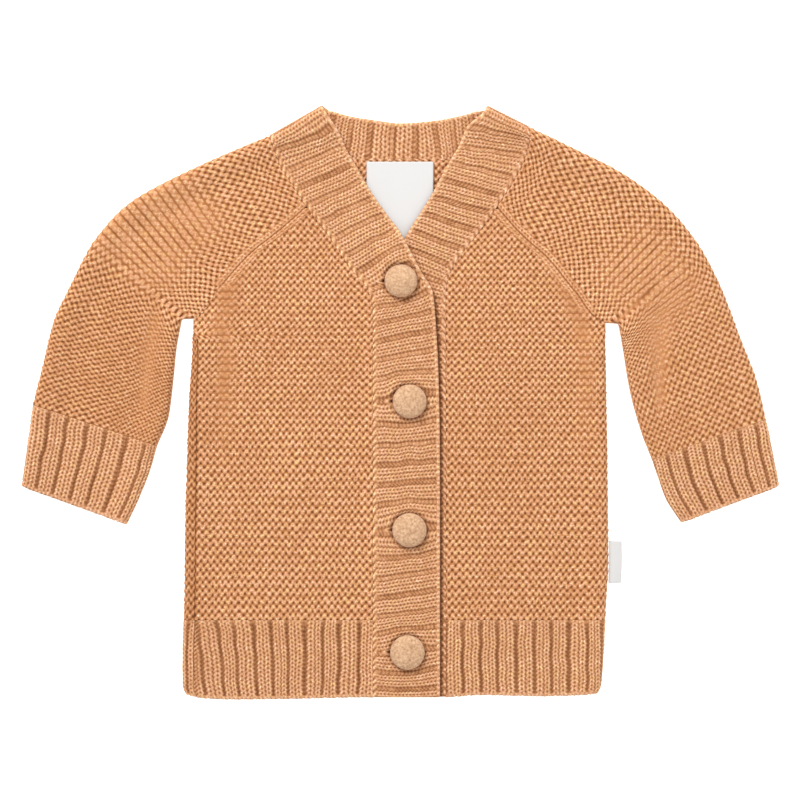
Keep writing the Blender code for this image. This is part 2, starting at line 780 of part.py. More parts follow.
def make_button(name, x, y, collection):
    """A cloth-covered dome on a shank, turned from its profile."""
    base = band_top(x, y) + BUTTON_FLOAT
    foot = resting(x, y) + RIB_VALLEY + RIB_RISE + SEAM
    crown = BUTTON_RISE - BUTTON_RIM
    profile = [(BUTTON_RADIUS * math.sin(angle), base + BUTTON_RIM + crown * math.cos(angle))
               for angle in np.radians((0, 18, 36, 54, 70, 82, 92))]
    profile.append((BUTTON_RADIUS - BUTTON_TUCK / 3, base + BUTTON_RIM / 3))
    profile += [(BUTTON_RADIUS - BUTTON_TUCK, base), (SHANK_RADIUS, base), (SHANK_RADIUS, foot), (0.0, foot)]
    mesh = bpy.data.meshes.new(name)
    edges = [(i, i + 1) for i in range(len(profile) - 1)]
    mesh.from_pydata([(radius * MM, 0.0, z * MM) for radius, z in profile], edges, [])
    obj = bpy.data.objects.new(name, mesh)
    collection.objects.link(obj)
    obj.location = (x * MM, y * MM, 0.0)
    screw = obj.modifiers.new("Turn", "SCREW")
    screw.angle = math.tau
    screw.steps = screw.render_steps = 18
    screw.use_merge_vertices = True
    screw.merge_threshold = 0.00001
    return finish(obj, "button_cloth")


def cut_buttonhole(band, name, x, y, cutters):
    """A sideways slot that starts under the button and shows at its outer side."""
    middle = x - HOLE_OUT + HOLE_LENGTH / 2
    middle_height = band_top(x, y) - RIB_VALLEY
    bpy.ops.mesh.primitive_cube_add(size=1, location=(middle * MM, y * MM, middle_height * MM))
    cutter = bpy.context.object
    cutter.name = name
    cutter.scale = (HOLE_LENGTH * MM, HOLE_WIDTH * MM, HOLE_DEPTH * MM)
    bpy.ops.object.transform_apply(location=False, rotation=False, scale=True)
    bevel = cutter.modifiers.new("Round ends", "BEVEL")
    bevel.width = HOLE_WIDTH * 0.45 * MM
    bevel.segments = 2
    bevel.limit_method = "WEIGHT"
    weights = cutter.data.attributes.new("bevel_weight_edge", "FLOAT", "EDGE")
    for edge in cutter.data.edges:
        a, b = (cutter.data.vertices[i].co for i in edge.vertices)
        weights.data[edge.index].value = float(abs(a.z - b.z) > 0.001)
    for owner in cutter.users_collection:
        owner.objects.unlink(cutter)
    cutters.objects.link(cutter)
    cutter.hide_render = True
    cutter.display_type = "WIRE"
    cut = band.modifiers.new(name, "BOOLEAN")
    cut.operation = "DIFFERENCE"
    cut.object = cutter


def make_label(name, collection):
    def place(x, y):
        return np.array((x, y, WALL + SEAM)), UP, LABEL_WALL

    columns = np.linspace(-LABEL_HALF, LABEL_HALF, 4)
    rows = np.linspace(LABEL_BOTTOM, LABEL_TOP, 4)
    return wall(name, "label_cloth", columns, rows, place, collection)


def make_tag(name, collection):
    def place(share, y):
        x = column(LEFT_SIDE, "x", y) + SEAM + TAG_REACH * share
        return np.array((x, y, FOLD - TAG_WALL / 2 - TAG_DROOP * share ** 2)), UP, TAG_WALL

    rows = (TAG_BOTTOM, mix(TAG_BOTTOM, TAG_TOP, 0.5), TAG_TOP)
    return wall(name, "label_cloth", (0.0, 0.35, 0.7, 1.0), rows, place, collection)


def new_collection(name):
    made = bpy.data.collections.new(name)
    bpy.context.scene.collection.children.link(made)
    return made


def main():
    for obj in list(bpy.data.objects):
        bpy.data.objects.remove(obj, do_unlink=True)
    cardigan = new_collection("Button cardigan")
    cutters = new_collection("Cutters")
    make_back("back", cardigan)
    make_back_hem("hem_back", cardigan)
    make_front("front_right", -1, 112.0, cardigan)
    make_front("front_left", 1, 111.5, cardigan)
    make_front_hem("hem_front_right", -1, cardigan)
    make_front_hem("hem_front_left", 1, cardigan)
    make_sleeve("sleeve_right", -1, cardigan)
    make_sleeve("sleeve_left", 1, cardigan)
    make_cuff("cuff_right", -1, cardigan)
    make_cuff("cuff_left", 1, cardigan)
    make_back_band("neckband_back", cardigan)
    band = make_front_band("band_right", -1, cardigan)
    make_front_band("band_left", 1, cardigan)
    make_label("neck_label", cardigan)
    make_tag("side_tag", cardigan)
    for number, (x, y) in enumerate(zip(BUTTONS["x"], BUTTONS["y"]), 1):
        make_button(f"button_{number}", x, y, cardigan)
        cut_buttonhole(band, f"buttonhole_{number}", x, y, cutters)


main()
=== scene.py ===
import math

import bpy
import numpy as np
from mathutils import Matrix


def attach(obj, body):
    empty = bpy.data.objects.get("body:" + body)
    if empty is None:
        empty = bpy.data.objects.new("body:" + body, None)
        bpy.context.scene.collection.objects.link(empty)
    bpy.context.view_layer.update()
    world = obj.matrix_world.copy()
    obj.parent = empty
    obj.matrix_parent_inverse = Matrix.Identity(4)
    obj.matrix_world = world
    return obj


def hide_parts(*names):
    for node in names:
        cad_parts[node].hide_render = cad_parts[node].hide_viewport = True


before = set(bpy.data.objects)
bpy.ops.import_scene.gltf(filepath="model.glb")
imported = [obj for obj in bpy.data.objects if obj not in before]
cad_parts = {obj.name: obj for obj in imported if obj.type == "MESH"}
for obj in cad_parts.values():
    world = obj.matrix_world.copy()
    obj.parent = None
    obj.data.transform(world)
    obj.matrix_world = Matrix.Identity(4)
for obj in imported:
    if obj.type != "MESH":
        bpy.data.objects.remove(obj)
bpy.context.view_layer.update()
bpy.ops.object.select_all(action="DESELECT")

# X runs across the garment, Y from the hem to the neck, Z up. Sizes are in mm.
# Right and left are the wearer's. Side -1 is the right one, at -X, and side 1 the left one.
# A pair of values is the start and run of a change, or an amount and the size of its unevenness.
mm = 0.001

cloth = {
    "wall": 3.0,
    "rib": 2.4,               # mean thickness of ribbed cloth
    "air": 0.4,
    "fold": 4.5,              # outer radius where a flattened tube folds
    "settle": 16.0,           # distance over which cloth settles down from a fold
    "lapRise": 3.3,           # the right front stands this much higher on the button band
    "lapRun": 12.0,
    "lapLead": 2.5,
    "bodyHem": -126.5,        # where the garter panels end and the hem rib starts
    "hemBottom": -171.0,
    "underarmLead": 2.0,      # the body's sides fold this far below the underarm, over the run
    "underarmRun": 10.0,
    "neckRun": 20.0,          # the sleeve's end turns to the neckband's direction over this run
    "backBend": 100.0,        # rows of the back bend up to the neckband from this height
    "floorLead": 0.2,         # relief fades out between these heights above the floor
    "floorRun": 2.4,
}
quarter = cloth["fold"] * math.pi / 2

yarn = {
    "stitch": 3.8,            # width of a garter stitch
    "ridge": 4.8,             # two rows of garter stitch
    "perStitch": 6,           # points of the mesh across a stitch
    "perRidge": 8,
    "rise": 1.1,              # depth from the top of the yarn to the pits
    "level": 0.8,             # height in the relief that lies on the plain wall
    "ribStitch": 2.4,         # from loop to loop along a rib's free end
    "ribRise": 0.8,
}


def table(columns, *rows):
    return dict(zip(columns.split(), np.array(rows, float).T))


# The distance between ridges of garter stitch, at heights on the body and along each sleeve
bodyRidges = table(
    "at  pitch",
    (-130.0, 4.8),
    (-25.0, 4.75),
    (15.0, 4.2),
    (145.0, 4.2),
)
rightRidges = table(
    "at  pitch",
    (-5.0, 4.1),
    (75.0, 4.5),
    (108.0, 4.5),
    (133.0, 3.3),
    (158.0, 2.85),
    (182.0, 2.95),
    (205.0, 3.6),
)
leftRidges = table(
    "at  pitch",
    (-5.0, 4.0),
    (75.0, 4.4),
    (100.0, 4.3),
    (114.0, 3.75),
    (140.0, 3.4),
    (160.0, 3.85),
    (210.0, 4.3),
)


# A row for each place along a band, counted in ribs from the shoulder fold
rightBand = table(
    "rib  seam_x  seam_y  edge_x  edge_y",
    (0.0, -76.0, 154.8, -45.5, 172.3),
    (1.0, -73.2, 146.5, -35.8, 157.0),
    (2.0, -68.8, 135.5, -31.0, 146.0),
    (3.0, -62.2, 125.5, -25.0, 136.0),
    (4.0, -55.8, 115.5, -20.0, 127.0),
    (5.0, -48.3, 105.5, -13.5, 117.0),
    (6.0, -41.0, 95.8, -7.0, 108.0),
    (7.0, -34.8, 86.2, -0.5, 99.0),
    (8.0, -28.0, 76.5, 5.0, 89.5),
    (9.0, -20.0, 66.8, 12.0, 76.0),
    (10.0, -16.2, 56.5, 19.0, 63.5),
    (12.0, -16.0, 36.5, 21.0, 40.5),
    (14.0, -16.0, 14.0, 22.2, 17.0),
    (17.0, -16.0, -25.0, 23.0, -23.0),
    (20.0, -16.0, -60.0, 23.1, -58.8),
    (22.0, -16.0, -88.5, 23.1, -87.5),
    (24.0, -16.0, -111.5, 23.1, -111.0),
    (27.0, -16.0, -144.0, 23.1, -143.8),
    (29.5, -16.0, -171.2, 23.1, -171.2),
)
leftBand = table(
    "rib  seam_x  seam_y  edge_x  edge_y",
    (0.0, 75.3, 159.8, 50.5, 172.3),
    (1.0, 75.0, 151.8, 38.6, 159.5),
    (2.0, 73.0, 142.8, 34.0, 148.5),
    (3.0, 67.0, 130.5, 28.3, 139.2),
    (4.0, 60.2, 119.5, 23.1, 129.5),
    (5.0, 53.2, 109.0, 17.6, 119.2),
    (6.0, 45.6, 98.6, 11.8, 110.0),
    (7.0, 37.8, 88.4, 5.6, 100.2),
    (8.0, 30.6, 78.6, 0.4, 91.0),
    (9.0, 26.9, 68.0, -4.6, 79.5),
    (10.0, 26.5, 57.2, -7.2, 66.5),
    (12.0, 26.5, 34.5, -8.0, 39.5),
    (16.0, 26.5, -11.2, -8.0, -8.0),
    (22.0, 26.5, -79.8, -8.0, -78.0),
    (30.0, 26.5, -171.0, -8.0, -171.0),
)
backBand = table(
    "rib  seam_x  seam_y  edge_x  edge_y",
    (0.0, -76.0, 154.8, -45.5, 172.3),
    (1.0, -66.0, 146.6, -37.8, 168.6),
    (2.2, -54.0, 142.2, -29.0, 166.0),
    (4.4, -28.0, 140.3, -15.5, 163.9),
    (6.2, 0.0, 140.0, 0.0, 162.0),
    (8.0, 28.5, 140.4, 17.5, 163.2),
    (10.2, 54.0, 143.4, 33.5, 166.0),
    (11.4, 66.0, 149.4, 42.5, 168.6),
    (12.4, 75.3, 159.8, 50.5, 172.3),
)

# A row across a sleeve at each distance along it, from the neck to the cuff.
# The front and back columns are the raglan seams, and the underarm edge below them.
rightSleeve = table(
    "along  outer_x  outer_y  front_x  front_y  back_x  back_y",
    (0, -76.0, 154.8, -54.4, 113.4, -54.0, 142.2),
    (22, -98.5, 145.4, -69.5, 100.0, -72.0, 121.0),
    (49, -127.5, 132.2, -87.0, 86.0, -90.0, 98.0),
    (80, -158.5, 114.6, -105.0, 66.0, -106.5, 74.0),
    (107, -179.0, 92.0, -119.6, 48.5, -119.6, 48.5),
    (108.5, -179.9, 90.5, -126.4, 48.0, -126.4, 48.0),
    (112, -182.0, 87.0, -127.4, 43.5, -127.4, 43.5),
    (131, -191.5, 68.0, -129.8, 30.0, -129.8, 30.0),
    (151, -201.5, 46.5, -131.6, 12.0, -131.6, 12.0),
    (174, -207.5, 22.0, -134.2, -8.0, -134.2, -8.0),
    (195, -213.5, -1.5, -141.0, -25.5, -141.0, -25.5),
)
leftSleeve = table(
    "along  outer_x  outer_y  front_x  front_y  back_x  back_y",
    (0, 75.3, 159.8, 56.0, 113.2, 54.0, 143.4),
    (24, 101.5, 147.2, 70.5, 97.0, 72.0, 122.0),
    (50, 130.5, 132.2, 85.5, 83.5, 89.0, 98.0),
    (80, 157.5, 111.2, 101.5, 64.0, 104.0, 74.0),
    (107, 175.5, 88.4, 118.8, 46.0, 118.8, 46.0),
    (108.5, 176.4, 86.8, 126.4, 45.4, 126.4, 45.4),
    (112, 178.5, 83.0, 127.3, 41.0, 127.3, 41.0),
    (129, 187.2, 65.0, 129.0, 31.0, 129.0, 31.0),
    (156, 198.0, 36.5, 133.0, 7.0, 133.0, 7.0),
    (181, 207.0, 13.0, 139.6, -17.0, 139.6, -17.0),
    (202, 212.5, -10.0, 146.0, -33.5, 146.0, -33.5),
)
rightCuff = table(
    "along  outer_x  outer_y  front_x  front_y",
    (0, -213.5, -1.5, -141.0, -25.5),
    (18, -216.0, -20.0, -145.0, -39.5),
    (34, -218.4, -36.0, -151.5, -56.0),
    (47, -220.0, -48.5, -158.5, -71.0),
)
leftCuff = table(
    "along  outer_x  outer_y  front_x  front_y",
    (0, 212.5, -10.0, 146.0, -33.5),
    (13, 215.2, -22.0, 149.4, -43.5),
    (26, 217.6, -34.5, 154.0, -56.0),
    (41, 220.0, -48.5, 163.0, -70.0),
)

# The body's outermost line at each height, and how far round from it the side seam lies
rightSide = table(
    "y  x  seam",
    (-172.0, -123.8, 8.4),
    (-165.0, -126.2, 9.0),
    (-155.0, -126.5, 9.2),
    (-115.0, -125.6, 9.2),
    (-68.0, -125.0, 9.0),
    (-33.0, -124.0, 8.4),
    (1.0, -122.8, 7.2),
    (36.0, -120.8, 5.6),
    (40.0, -121.2, 3.0),
    (44.0, -120.4, 1.2),
    (48.5, -119.6, 0.0),
)
leftSide = table(
    "y  x  seam",
    (-172.0, 114.5, 0.0),
    (-165.0, 116.8, 0.0),
    (-146.0, 118.2, 0.0),
    (-120.0, 119.6, 0.0),
    (-91.0, 121.0, 0.0),
    (-39.0, 120.6, 0.0),
    (-4.0, 120.0, 0.0),
    (30.0, 119.4, 0.0),
    (42.0, 118.8, 0.0),
    (46.0, 118.6, 0.0),
)
hemEdge = table(
    "x  y",
    (-126.0, -170.2),
    (-98.0, -172.3),
    (-58.0, -171.8),
    (-16.0, -171.0),
    (26.0, -171.0),
    (46.0, -169.8),
    (82.0, -170.5),
    (118.0, -169.0),
)

# X of each valley between the back neckband's ribs, and how much further up the free end of each
# of the right band's ribs lies than in its table, in ribs
backRibs = table(
    "valley  seam  edge",
    (0, -68.0, -60.0),
    (1, -55.5, -49.0),
    (2, -43.0, -38.2),
    (3, -31.5, -27.0),
    (4, -19.3, -15.9),
    (5, -5.4, -3.9),
    (6, 9.2, 8.2),
    (7, 22.3, 20.2),
    (8, 33.2, 30.5),
    (9, 45.0, 41.5),
    (10, 57.5, 53.0),
    (11, 70.0, 65.0),
    (12, 82.0, 77.0),
)
rightSkew = table(
    "rib  skew",
    (0.0, 0.0),
    (2.0, 0.4),
    (9.0, 0.35),
    (12.0, 0.4),
    (16.0, 0.1),
    (20.0, 0.15),
    (24.0, 0.5),
    (29.5, 0.0),
)

underarm = {-1: 48.5, 1: 46.0}
underarmAlong = 107.0
raglanTop = {-1: 4.2, 1: 4.6}
backBandRaglan = {-1: 2.2, 1: 10.2}
backBandEnd = {-1: 0.0, 1: 12.4}
sleeveRidges = {-1: rightRidges, 1: leftRidges}
bands = {-1: rightBand, 1: leftBand}
sleeves = {-1: rightSleeve, 1: leftSleeve}
cuffs = {-1: rightCuff, 1: leftCuff}
sides = {-1: rightSide, 1: leftSide}


# Curves

def ease(share):
    share = np.clip(share, 0.0, 1.0)
    return share * share * (3 - 2 * share)


def ramp(at, start, run):
    return ease((at - start) / run)


def window(at, start, rise, end, fall):
    # 1 between start and end, with soft flanks
    return ramp(at, start, rise) * (1 - ramp(at, end, fall))


def mix(a, b, share):
    return a + (b - a) * share


def length(vectors):
    return np.sqrt((vectors ** 2).sum(-1))


def unit(vectors):
    return vectors / np.maximum(length(vectors), 1e-9)[..., None]


def curve(stations, values, at):
    # a smooth curve through the values, which never overshoots them
    gaps = np.diff(stations)
    slopes = np.diff(values) / gaps
    product = slopes[1:] * slopes[:-1]
    total = np.where(product > 0, slopes[1:] + slopes[:-1], 1.0)
    middle = np.where(product > 0, 2 * product / total, 0.0)
    tangents = np.concatenate(([slopes[0]], middle, [slopes[-1]]))
    at = np.clip(at, stations[0], stations[-1])
    i = np.clip(np.searchsorted(stations, at, side="right") - 1, 0, len(gaps) - 1)
    t = (at - stations[i]) / gaps[i]
    start = values[i] * (1 + 2 * t) * (1 - t) ** 2
    end = values[i + 1] * t * t * (3 - 2 * t)
    return start + end + gaps[i] * t * (1 - t) * ((1 - t) * tangents[i] - t * tangents[i + 1])


def column(rows, name, at):
    return curve(next(iter(rows.values())), rows[name], at)


def point(rows, name, at):
    return np.stack((column(rows, name + "_x", at), column(rows, name + "_y", at)), -1)


def line(rows, name, first, last):
    return point(rows, name, np.linspace(first, last, 400))


def ridgesAt(rows, at):
    # how many ridges lie before a place
    fine = np.linspace(rows["at"][0], rows["at"][-1], 800)
    counted = np.cumsum(np.gradient(fine) / np.interp(fine, rows["at"], rows["pitch"]))
    return np.interp(at, fine, counted)


def crossing(points, y):
    # X at which a line that runs downwards crosses a height
    return np.interp(-y, -points[:, 1], points[:, 0])


bandSeam = {side: line(rows, "seam", 0.0, rows["rib"][-1]) for side, rows in bands.items()}
neckSeam = {side: line(bands[side], "seam", 0.0, raglanTop[side] + 0.4) for side in (-1, 1)}
backNeckSeam = {side: line(backBand, "seam", backBandEnd[side], backBandRaglan[side]) for side in (-1, 1)}
backBandSeam = line(backBand, "seam", 0.0, backBand["rib"][-1])
lowerEdge = line(leftBand, "edge", 0.0, 30.0)
upperEdge = line(rightBand, "edge", 0.0, 29.5)
raglans = {(side, face): line(sleeves[side], face, 0.0, underarmAlong)
           for side in (-1, 1) for face in ("front", "back")}
neckWays = {side: [unit(seam[side][40] - seam[side][0]) for seam in (neckSeam, backNeckSeam)]
            for side in (-1, 1)}


# Layers

def closed(side, y):
    # 1 where the body's side is a rounded fold, 0 along the raglan seams
    return ease((underarm[side] - cloth["underarmLead"] - y) / cloth["underarmRun"])


label = {
    "half": 19.5,
    "top": 139.6,
    "bottom": 91.0,
    "wall": 0.6,
    "above": 0.3,             # over the back
    "lift": 1.0,              # of the layers that lie on it
    "fade": 18.0,
    "wave": 0.16,
    "waveLength": 9.0,
    "wavePhase": 0.6,
    "waveFade": (12.0, 97.0, 10.0),
    "round": 0.4,
    "fine": (90, 72),
    "every": 6,               # the inner face keeps one point in this many
}


def resting(x, y):
    # inner face of a layer that lies on the back, and over the neck label
    overLabel = ease((label["half"] + label["fade"] - abs(x)) / label["fade"])
    overLabel = overLabel * ease((y - label["bottom"] + label["fade"]) / label["fade"])
    return cloth["wall"] + cloth["air"] + label["lift"] * overLabel


def lapping(x, y):
    # the same for the right front, which climbs over the button band
    climb = (x - crossing(lowerEdge, y) + cloth["lapLead"] + cloth["lapRun"]) / cloth["lapRun"]
    return resting(x, y) + cloth["lapRise"] * ease(climb)


layer = {-1: lapping, 1: resting}


def lifted(height, distance, share=1.0):
    top = 2 * cloth["fold"] - cloth["wall"]
    return mix(height, np.maximum(top, height), share * (1 - ease(distance / cloth["settle"])))


def roundFold(turn, radius=cloth["fold"]):
    # reach in from the fold's outermost line, height, and how far the place faces up, -1 to 1
    up = np.sin(np.clip(turn / cloth["fold"], -math.pi / 2, math.pi / 2))
    out = np.sqrt(np.maximum(1 - up * up, 0.0))
    reach = cloth["fold"] - radius * out + np.maximum(abs(turn) - quarter, 0.0)
    return reach, cloth["fold"] + radius * up, up


# Stitches

def scatter(i, j, seed):
    # an even spread of numbers from 0 to 1, the same in each run
    n = (i.astype(np.int64) * 73856093) ^ (j.astype(np.int64) * 19349663) ^ (np.int64(1) * seed * 83492791)
    n = (n ^ (n >> 13)) * 1274126177
    return ((n ^ (n >> 16)) & 0xFFFF) / 65535.0


def wander(x, y, size, seed):
    # smooth unevenness from -1 to 1
    x, y = x / size, y / size
    i, j = np.floor(x), np.floor(y)
    s, t = ease(x - i), ease(y - j)
    low = mix(scatter(i, j, seed), scatter(i + 1, j, seed), s)
    high = mix(scatter(i, j + 1, seed), scatter(i + 1, j + 1, seed), s)
    return 2 * mix(low, high, t) - 1


# Heights are shares of the yarn's rise
garter = {
    "loop": 0.27,             # from a ridge's edge to the middle of its loops, in ridges
    "zigzag": 0.2,
    "halfWidth": 1.55,
    "halfHeight": 1.2,
    "bend": 0.13,             # the upper loops arch up and the lower ones down
    "uneven": 0.36,
    "lean": 0.6,
    "sizes": 0.25,
    "lowest": 0.72,           # height of the flattest loops
    "drift": ((0.24, 17.0), (0.12, 6.0)),      # of the columns of stitches, in stitches
    "ridgeDrift": ((0.08, 23.0), (0.05, 7.0)),
    "strand": 0.7,            # half of the yarn's thickness between the loops
    "link": 0.66,             # height of the yarn there
    "linkLit": 0.16,
    "ground": 0.48,           # height of the cloth round the pits
    "groove": 0.5,            # half width of the line between two ridges
    "grooveDepth": 0.1,
    # painted shade along the groove between two ridges
    "grooveShade": 0.06,
    "pitWidth": 0.78,
    "pitHeight": 0.65,
    "pitDepth": 0.35,
    # painted shade in the pits
    "pitShade": 0.62,
    "openPit": 0.75,          # how much deeper the pits are where the stitches are pulled apart
    "openLit": 0.1,
    "shade": 0.37,            # how lit the cloth between the loops is
    "lit": 0.8,               # and the loops are
    "litFrom": (0.2, 0.6),
}

# Ridges that are pushed together
pushed = {
    # the line between them is a real groove and is also painted in shade
    "slit": 1.05,             # width of the line between them
    "slitLead": 0.12,
    "slitDrift": (0.2, 5.0),
    "round": 0.6,
    "stitches": 0.16,         # how far their stitches still show
    "lit": (0.46, 0.22),
}


def garterLoops(u, v, seed):
    # height of the loops, and a number for each stitch
    loops, tone = np.zeros_like(u), np.full_like(u, 0.5)
    for place, shift, arch in ((garter["loop"], 0.5, -1), (1 - garter["loop"], 0.0, 1)):
        for down in (-1, 0, 1):
            j = np.floor(v) + down
            for beside in (0, 1):
                i = np.floor(u - shift) + beside
                push = garter["uneven"] * (scatter(i, j, seed + 3 + arch) - 0.5) * 2
                lean = garter["lean"] * (scatter(i, j, seed + 6 + arch) - 0.5)
                size = 1 + garter["sizes"] * (scatter(i, j, seed + 9 + arch) - 0.5)
                dx = (u - i - shift) * yarn["stitch"] + push
                dy = (v - j - place) * yarn["ridge"] + arch * garter["bend"] * dx * dx + lean * dx
                far = (dx / garter["halfWidth"] / size) ** 2 + (dy / garter["halfHeight"] / size) ** 2
                level = mix(garter["lowest"], 1.0, scatter(i, j, seed + 12 + arch))
                loop = level * np.sqrt(np.maximum(1 - far, 0.0))
                tone = np.where(loop > loops, scatter(i, j, seed + 15 + arch), tone)
                loops = np.maximum(loops, loop)
    return loops, tone


def garterPits(u, v):
    pit = np.zeros_like(u)
    for place, shift in ((0.25, 0.0), (0.75, 0.5)):
        du = (u - shift - np.round(u - shift)) * yarn["stitch"] / garter["pitWidth"]
        dv = (v - place - np.round(v - place)) * yarn["ridge"] / garter["pitHeight"]
        pit = np.maximum(pit, np.exp(-du * du - dv * dv))
    return pit


def pushedRidges(v, loops, lit, slitDrift):
    # height of ridges that are pushed together, and how lit they are
    fromRidge = abs(v - np.round(v))
    barrel = np.sqrt(np.maximum(1 - (1 - 2 * fromRidge) ** 2, 0.0)) ** pushed["round"]
    slit = fromRidge * yarn["ridge"] + pushed["slitLead"] + slitDrift
    ridgeLit, loopLit = pushed["lit"]
    # painted shade along the line between the ridges
    lit = ease(slit / pushed["slit"]) * (ridgeLit + loopLit * lit)
    return barrel * mix(1.0, loops, pushed["stitches"]), lit


def garterStitches(u, v, seed, tight=0.0, open=0.0):
    # u counts stitches and v ridges; tight is 1 where the ridges are pushed together, and open where
    # the stitches are pulled apart.
    # Gives the height of the yarn, how lit it is and a number for each stitch.
    x, y = u * yarn["stitch"], v * yarn["ridge"]
    for k, (drift, size) in enumerate(garter["drift"]):
        u = u + drift * wander(x, y, size, seed + k)
    for k, (drift, size) in enumerate(garter["ridgeDrift"]):
        v = v + drift * wander(x, y, size, seed + 2 + 18 * k)
    loops, tone = garterLoops(u, v, seed)
    zigzag = garter["zigzag"] * np.cos(2 * math.pi * u)
    slope = 2 * math.pi * garter["zigzag"] * yarn["ridge"] / yarn["stitch"] * np.sin(2 * math.pi * u)
    steep = 1 + slope ** 2
    fromGroove = v - zigzag - np.round(v - zigzag)
    groove = np.exp(-(fromGroove * yarn["ridge"] / garter["groove"]) ** 2 / steep)
    fromLink = v - 0.5 - zigzag - np.round(v - 0.5 - zigzag)
    link = np.sqrt(np.maximum(1 - (fromLink * yarn["ridge"] / garter["strand"]) ** 2 / steep, 0.0))
    pit = garterPits(u, v) * (1 + garter["openPit"] * open)
    height = np.maximum(np.maximum(loops, garter["link"] * link), garter["ground"])
    height = height - garter["pitDepth"] * pit - garter["grooveDepth"] * groove
    lit = mix(garter["shade"] + garter["linkLit"] * link, garter["lit"], ramp(loops, *garter["litFrom"]))
    # the pits and the groove get painted shade
    lit = lit + garter["openLit"] * open - garter["pitShade"] * pit - garter["grooveShade"] * groove
    drift, size = pushed["slitDrift"]
    pushedHeight, pushedLit = pushedRidges(v, loops, lit, drift * wander(x, y, size, seed + 21))
    return (mix(np.maximum(height, 0.0), pushedHeight, tight), mix(np.maximum(lit, 0.0), pushedLit, tight),
            tone)


raglanRail = {
    "width": 3.7,
    "uneven": (0.1, 9.0),
    "edge": (0.9, 0.3),       # the column fades out from here, in widths
    "stitch": 2.9,
    "ground": 0.45,
    "rise": 0.5,
    "lit": 0.16,
    "seam": 1.0,
    "shade": {-1: 0.42, 1: 0.62},
}


def rail(side, distance, along, stitches, share, sewn):
    # the column of knit stitches beside a raglan seam, and the seam's shadow
    height, lit, tone = stitches
    amount, size = raglanRail["uneven"]
    r = distance / (raglanRail["width"] * (1 + amount * wander(along, distance * 0.2, size, 31)))
    inside = share * (1 - ramp(r, *raglanRail["edge"]))
    chain, _ = knitColumn(np.clip(r - 0.5, -0.6, 0.6), along / raglanRail["stitch"], 32)
    seam = 1 - raglanRail["shade"][side] * sewn * (1 - ease(distance / raglanRail["seam"]))
    raised = raglanRail["ground"] + raglanRail["rise"] * chain
    return (mix(height, raised, inside), mix(lit, mix(raglanRail["lit"], 1.0, chain), inside) * seam,
            mix(tone, 0.5, inside))


knit = {
    "leg": 0.25,              # from the middle of a column to each leg of its Vs, in columns
    "lean": 0.19,
    "halfWidth": 0.23,
    "halfLength": 0.72,       # in stitches
    "lowest": 0.72,           # height of the flattest legs
    "ground": 0.32,
    "dot": 0.75,              # holes between neighbouring columns
    "dotAt": -0.15,
    "line": 0.1,              # and the line on which they lie
    "fork": 0.5,              # holes between the legs of a V
    "forkAt": 0.3,
    "lineWidth": 0.17,
    "dotHeight": 0.28,
}


def knitColumn(a, b, seed):
    # a runs from -0.5 to 0.5 across a column of knit stitches, b counts stitches along it
    best, dot = np.zeros_like(a), np.zeros_like(a)
    side = np.exp(-((abs(a) - 0.5) / knit["lineWidth"]) ** 2)
    middle = np.exp(-(a / knit["lineWidth"]) ** 2)
    for down in (-1, 0, 1):
        j = np.floor(b) + down
        ahead = b - j - 0.5
        for leg in (-1, 1):
            across = a - leg * (knit["leg"] + knit["lean"] * ahead)
            far = (across / knit["halfWidth"]) ** 2 + (ahead / knit["halfLength"]) ** 2
            level = mix(knit["lowest"], 1.0, scatter(j, j * 0 + leg, seed))
            best = np.maximum(best, level * np.sqrt(np.maximum(1 - far, 0.0)))
        for deep, where, at in ((knit["dot"], side, knit["dotAt"]), (knit["fork"], middle, knit["forkAt"])):
            dot = np.maximum(dot, deep * where * np.exp(-((ahead - at) / knit["dotHeight"]) ** 2))
    height = np.maximum(best, knit["ground"]) - dot - knit["line"] * side
    return np.maximum(height, 0.0), scatter(np.floor(b), 0 * np.floor(b), seed)


# A rib is two columns of knit stitches and a purl column. purl is half of that column's share of the
# rib's width, and slotAt and slot say where in it the slot lies and how wide it is; the slot is deeper
# and is painted in shadow, and dark says how lit it is. picked is the depth of the picked-up stitches
# beside the neckband's seam.
hemRib = {"row": 2.4, "purl": 0.07, "slotAt": 0.0, "slot": 0.05, "deep": 1.4, "round": 0.9, "dark": 0.0,
          "purlLit": 0.08, "bars": 0.22, "flare": 0.6, "uneven": 0.1}
cuffRib = {"row": 2.4, "purl": 0.07, "slotAt": 0.03, "slot": 0.05, "deep": 1.3, "round": 0.9, "dark": 0.0,
           "purlLit": 0.1, "bars": 0.22, "flare": 0.4, "uneven": 0.08}
bandRib = {"row": 2.15, "purl": 0.13, "slotAt": -0.1, "slot": 0.045, "deep": 0.9, "round": 0.6, "dark": 0.06,
           "purlLit": 0.2, "bars": 0.36, "flare": 0.0, "uneven": 0.03, "picked": 2.8}
backRib = {"row": 2.9, "purl": 0.125, "slotAt": 0.08, "slot": 0.04, "deep": 0.9, "round": 0.6, "dark": 0.1,
           "purlLit": 0.2, "bars": 0.34, "flare": 0.0, "uneven": 0.02, "picked": 0.8}

